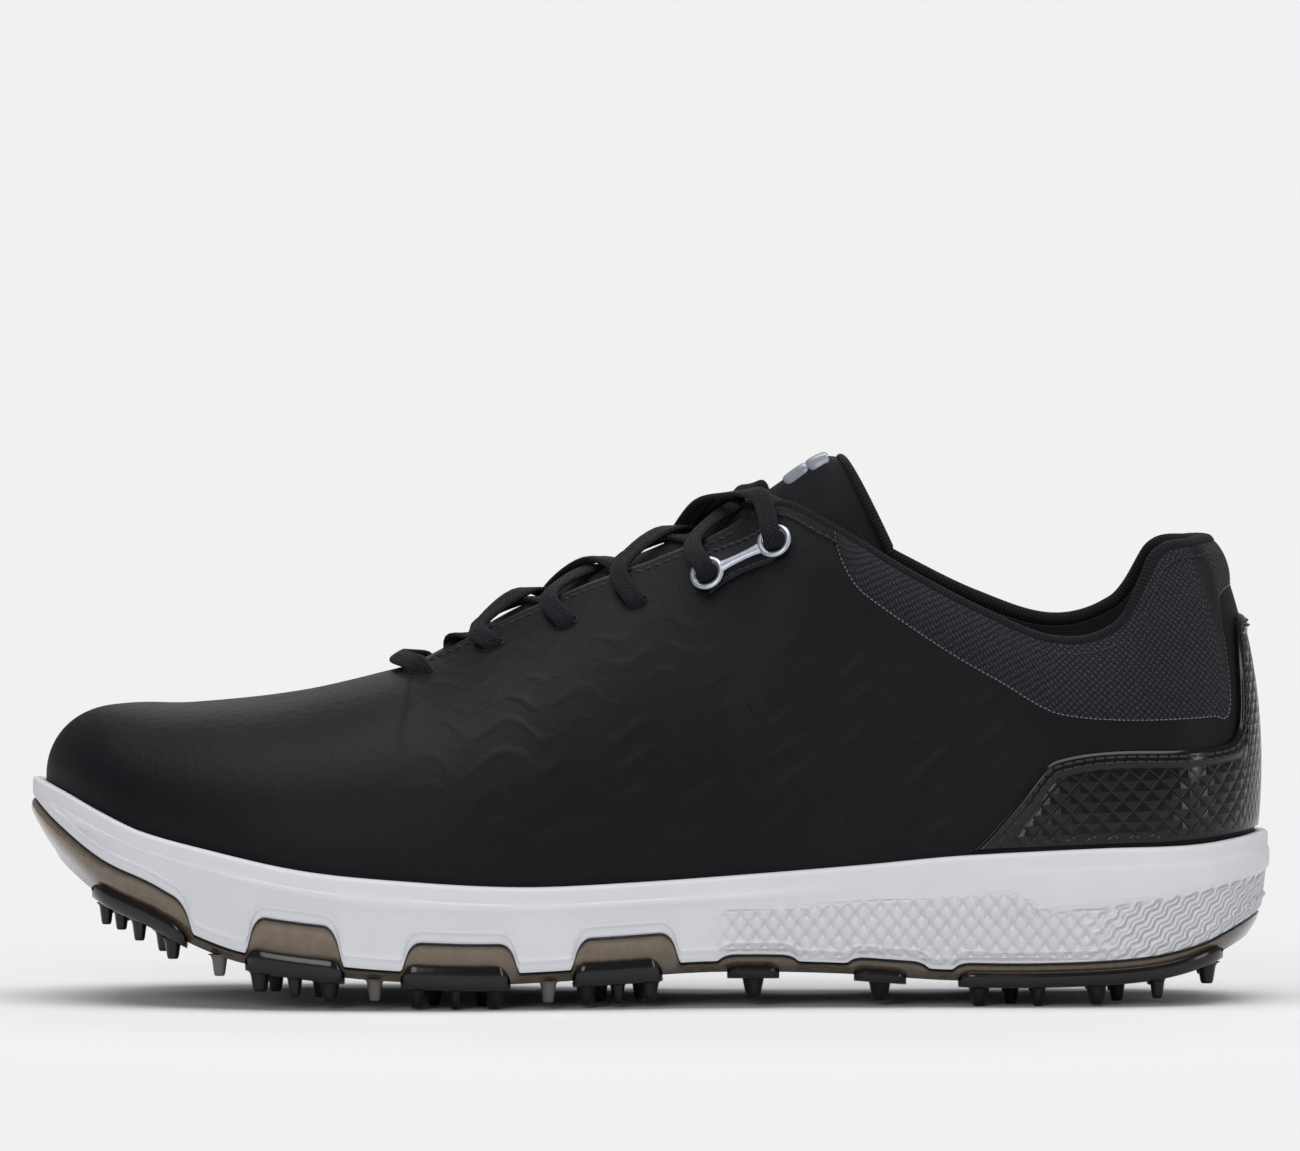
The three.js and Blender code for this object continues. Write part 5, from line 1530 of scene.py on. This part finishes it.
def link_pieces(side, word):
    rows = [FIRST_RING, FIRST_RING + 1]
    front, back = (row_place(row, side, LINK_DEPTH) for row in rows)
    run = unit(back - front)
    out = unit(sum(row_place(row, side, -1.0) - row_place(row, side, 0.0) for row in rows))
    face = unit(out - run * np.dot(out, run))
    across = np.cross(face, run)
    middle_radius = (LINK_RADIUS + LINK_HOLE) / 2 + 0.15
    half = (LINK_RADIUS - LINK_HOLE) / 2 + 0.25
    rise = LINK_THICKNESS / 2
    angle = np.linspace(0, 2 * math.pi, 49)
    parts = []
    for centre in (front, back):
        turn = run * (middle_radius * np.cos(angle))[:, None]
        ring_line = centre + face * rise + turn + across * (middle_radius * np.sin(angle))[:, None]
        hints = np.tile(face, (len(angle), 1))
        section = round_section(1.0, 12) * np.array([[rise, half]])
        parts.append(sweep(*frames_along(ring_line, hints), section, loop=True))
    bar = np.array([mix(front, back, t) + face * rise for t in np.linspace(0.22, 0.78, 9)])
    width = LINK_BAR / 2 * (1.5 - 0.4 * np.sin(np.linspace(0, math.pi, 9)) ** 0.5)
    section = round_section(1.0, 14)
    sides = [bar + across * (width * a)[:, None] + face * rise * b for a, b in [*section, section[0]]]
    grid = np.stack(sides, axis=1)
    parts.append((grid.reshape(-1, 3), grid_quads(*grid.shape[:2]), flat_map(grid).reshape(-1, 2)))
    joined(f"link_{word}", parts, "metal", replaces=(f"lace_link_{word}",))

    reach = LINK_RADIUS + PATCH_MARGIN
    angle = np.linspace(0, 2 * math.pi, 97)
    centre = (front + back) / 2
    span = np.linalg.norm(back - front) / 2
    cos, sin = np.cos(angle), np.sin(angle)
    profile_x = reach * cos + span * np.sign(cos) * np.minimum(1, np.abs(cos) * 6)
    waist = 1.1 * (np.abs(profile_x) < span) * np.cos(profile_x / span * math.pi / 2) * sin
    profile_y = reach * sin - waist
    shares = np.array([0.0, 0.35, 0.62, 0.8, 0.93, 0.98, 1.0])
    heights = np.array([0.0, 0, 0, 0.12, 0.1, -0.15, -0.6])
    long_way = run * (profile_x[:, None, None] * shares[None, :, None])
    plane = centre + long_way + across * (profile_y[:, None, None] * shares[None, :, None])
    ring_places = [LACE_ROWS[row][0] for row in rows]
    edge_u = side * np.interp(np.dot(plane - centre, run), [-span, span], ring_places)
    v = at_height(edge_u, plane[..., 2])
    grid = layer(edge_u, v, -GAP - PATCH - heights[None, :])
    patch = (grid.reshape(-1, 3), grid_quads(*grid.shape[:2]), flat_map(grid).reshape(-1, 2))
    joined(f"patch_{word}", [patch], "patch", replaces=(f"link_patch_{word}",))
    seam = layer(edge_u[:, 3], v[:, 3], -GAP - PATCH - 0.15)
    sewn = stitches(seam, -inward_normal(edge_u[:, 3], v[:, 3]), 2.0, 1.4, 0.24)
    return joined(f"patch_stitching_{word}", sewn, "thread")


# ---------------------------------------------------------------- the rest of the CAD's nodes

HIDDEN = {
    "shank": "shank", "strobel_board": "felt", "collar_padding": "pad", "heel_counter": "board",
    "toe_puff": "board", "eyestay_backing_lateral": "board", "eyestay_backing_medial": "board",
}


def dress_nodes():
    for node, look in HIDDEN.items():
        dress(frame["nodes"][node], look)


# ---------------------------------------------------------------- studio

PALE = (0.88, 0.88, 0.88)
ROOM_LIGHT = 0.25
VIEW_WIDTH = 0.3138
VIEW_CENTRE = (0.0, 0.0, 0.1027)
VIEW_DISTANCE = 5.0
ELEVATION = 2.5
SENSOR = 36
CLIP_END = 50
ROOM_COLOUR = (0.9, 0.92, 0.96)
FLOOR_RADII = (0, 500, 1500, 6000.0)
LIGHT_TARGET = (0, 0, 0.06)
# Area lights: [name, place, size, power].
LIGHTS = [
    ("top", (0.0, -0.1, 1.3), (1.4, 1.0), 14),
    ("front", (-0.5, -1.7, 0.7), (0.9, 0.7), 9),
    ("right", (1.5, -0.7, 0.5), (0.3, 0.9), 4),
    ("back", (0.2, 1.4, 0.9), (1.2, 0.5), 4),
]


def camera():
    data = bpy.data.cameras.new("camera")
    near_side = BALL_WIDTH / 4 * MM
    data.sensor_width = SENSOR
    data.lens = SENSOR * (VIEW_DISTANCE - near_side) / VIEW_WIDTH
    data.clip_end = CLIP_END
    shot = bpy.data.objects.new("camera", data)
    angle = math.radians(ELEVATION)
    away = Vector((0, -math.cos(angle), math.sin(angle)))
    shot.location = Vector(VIEW_CENTRE) + away * VIEW_DISTANCE
    shot.rotation_euler = (-away).to_track_quat("-Z", "Y").to_euler()
    bpy.context.scene.collection.objects.link(shot)
    bpy.context.scene.camera = shot


def area_light(name, place, target, size, power):
    data = bpy.data.lights.new(name, "AREA")
    data.shape = "RECTANGLE"
    data.size, data.size_y = size
    data.energy = power
    light = bpy.data.objects.new(name, data)
    light.location = place
    light.rotation_euler = (Vector(target) - Vector(place)).to_track_quat("-Z", "Y").to_euler()
    bpy.context.scene.collection.objects.link(light)


def studio():
    world = bpy.data.worlds.new("studio")
    world.use_nodes = True
    tree = world.node_tree
    room = tree.nodes["Background"]
    room.inputs["Color"].default_value = (*ROOM_COLOUR, 1)
    room.inputs["Strength"].default_value = ROOM_LIGHT
    wall = tree.nodes.new("ShaderNodeBackground")
    wall.inputs["Color"].default_value = (*PALE, 1)
    seen = tree.nodes.new("ShaderNodeLightPath")
    both = tree.nodes.new("ShaderNodeMixShader")
    tree.links.new(seen.outputs["Is Camera Ray"], both.inputs[0])
    tree.links.new(room.outputs[0], both.inputs[1])
    tree.links.new(wall.outputs[0], both.inputs[2])
    tree.links.new(both.outputs[0], tree.nodes["World Output"].inputs["Surface"])
    bpy.context.scene.world = world
    bpy.context.scene.view_settings.view_transform = "Standard"
    angle = np.linspace(0, 2 * math.pi, 65)
    grid = np.stack([vec(r * np.cos(angle), r * np.sin(angle), 0 * angle) for r in FLOOR_RADII], axis=1)
    floor = make("studio_floor", grid.reshape(-1, 3), grid_quads(*grid.shape[:2]), None)
    floor.data.materials.append(floor_look().material)
    for name, place, size, power in LIGHTS:
        area_light(name, place, LIGHT_TARGET, size, power)


# ---------------------------------------------------------------- making the shoe

camera()
studio()
lace, tips, lace_path, lace_length = lace_piece()
outsole_piece()
midsole_piece()
insole_piece()
for pod in PODS:
    pod_piece(pod, -1, "lateral")
    pod_piece(pod, 1, "medial")
lobe_pegs()
shell_piece()
mesh_piece()
lining_piece()
overlay_piece()
binding_piece()
piping_piece()
tongue_piece()
badge_piece()
slot_pieces()
link_pieces(-1, "lateral")
link_pieces(1, "medial")
dress_nodes()
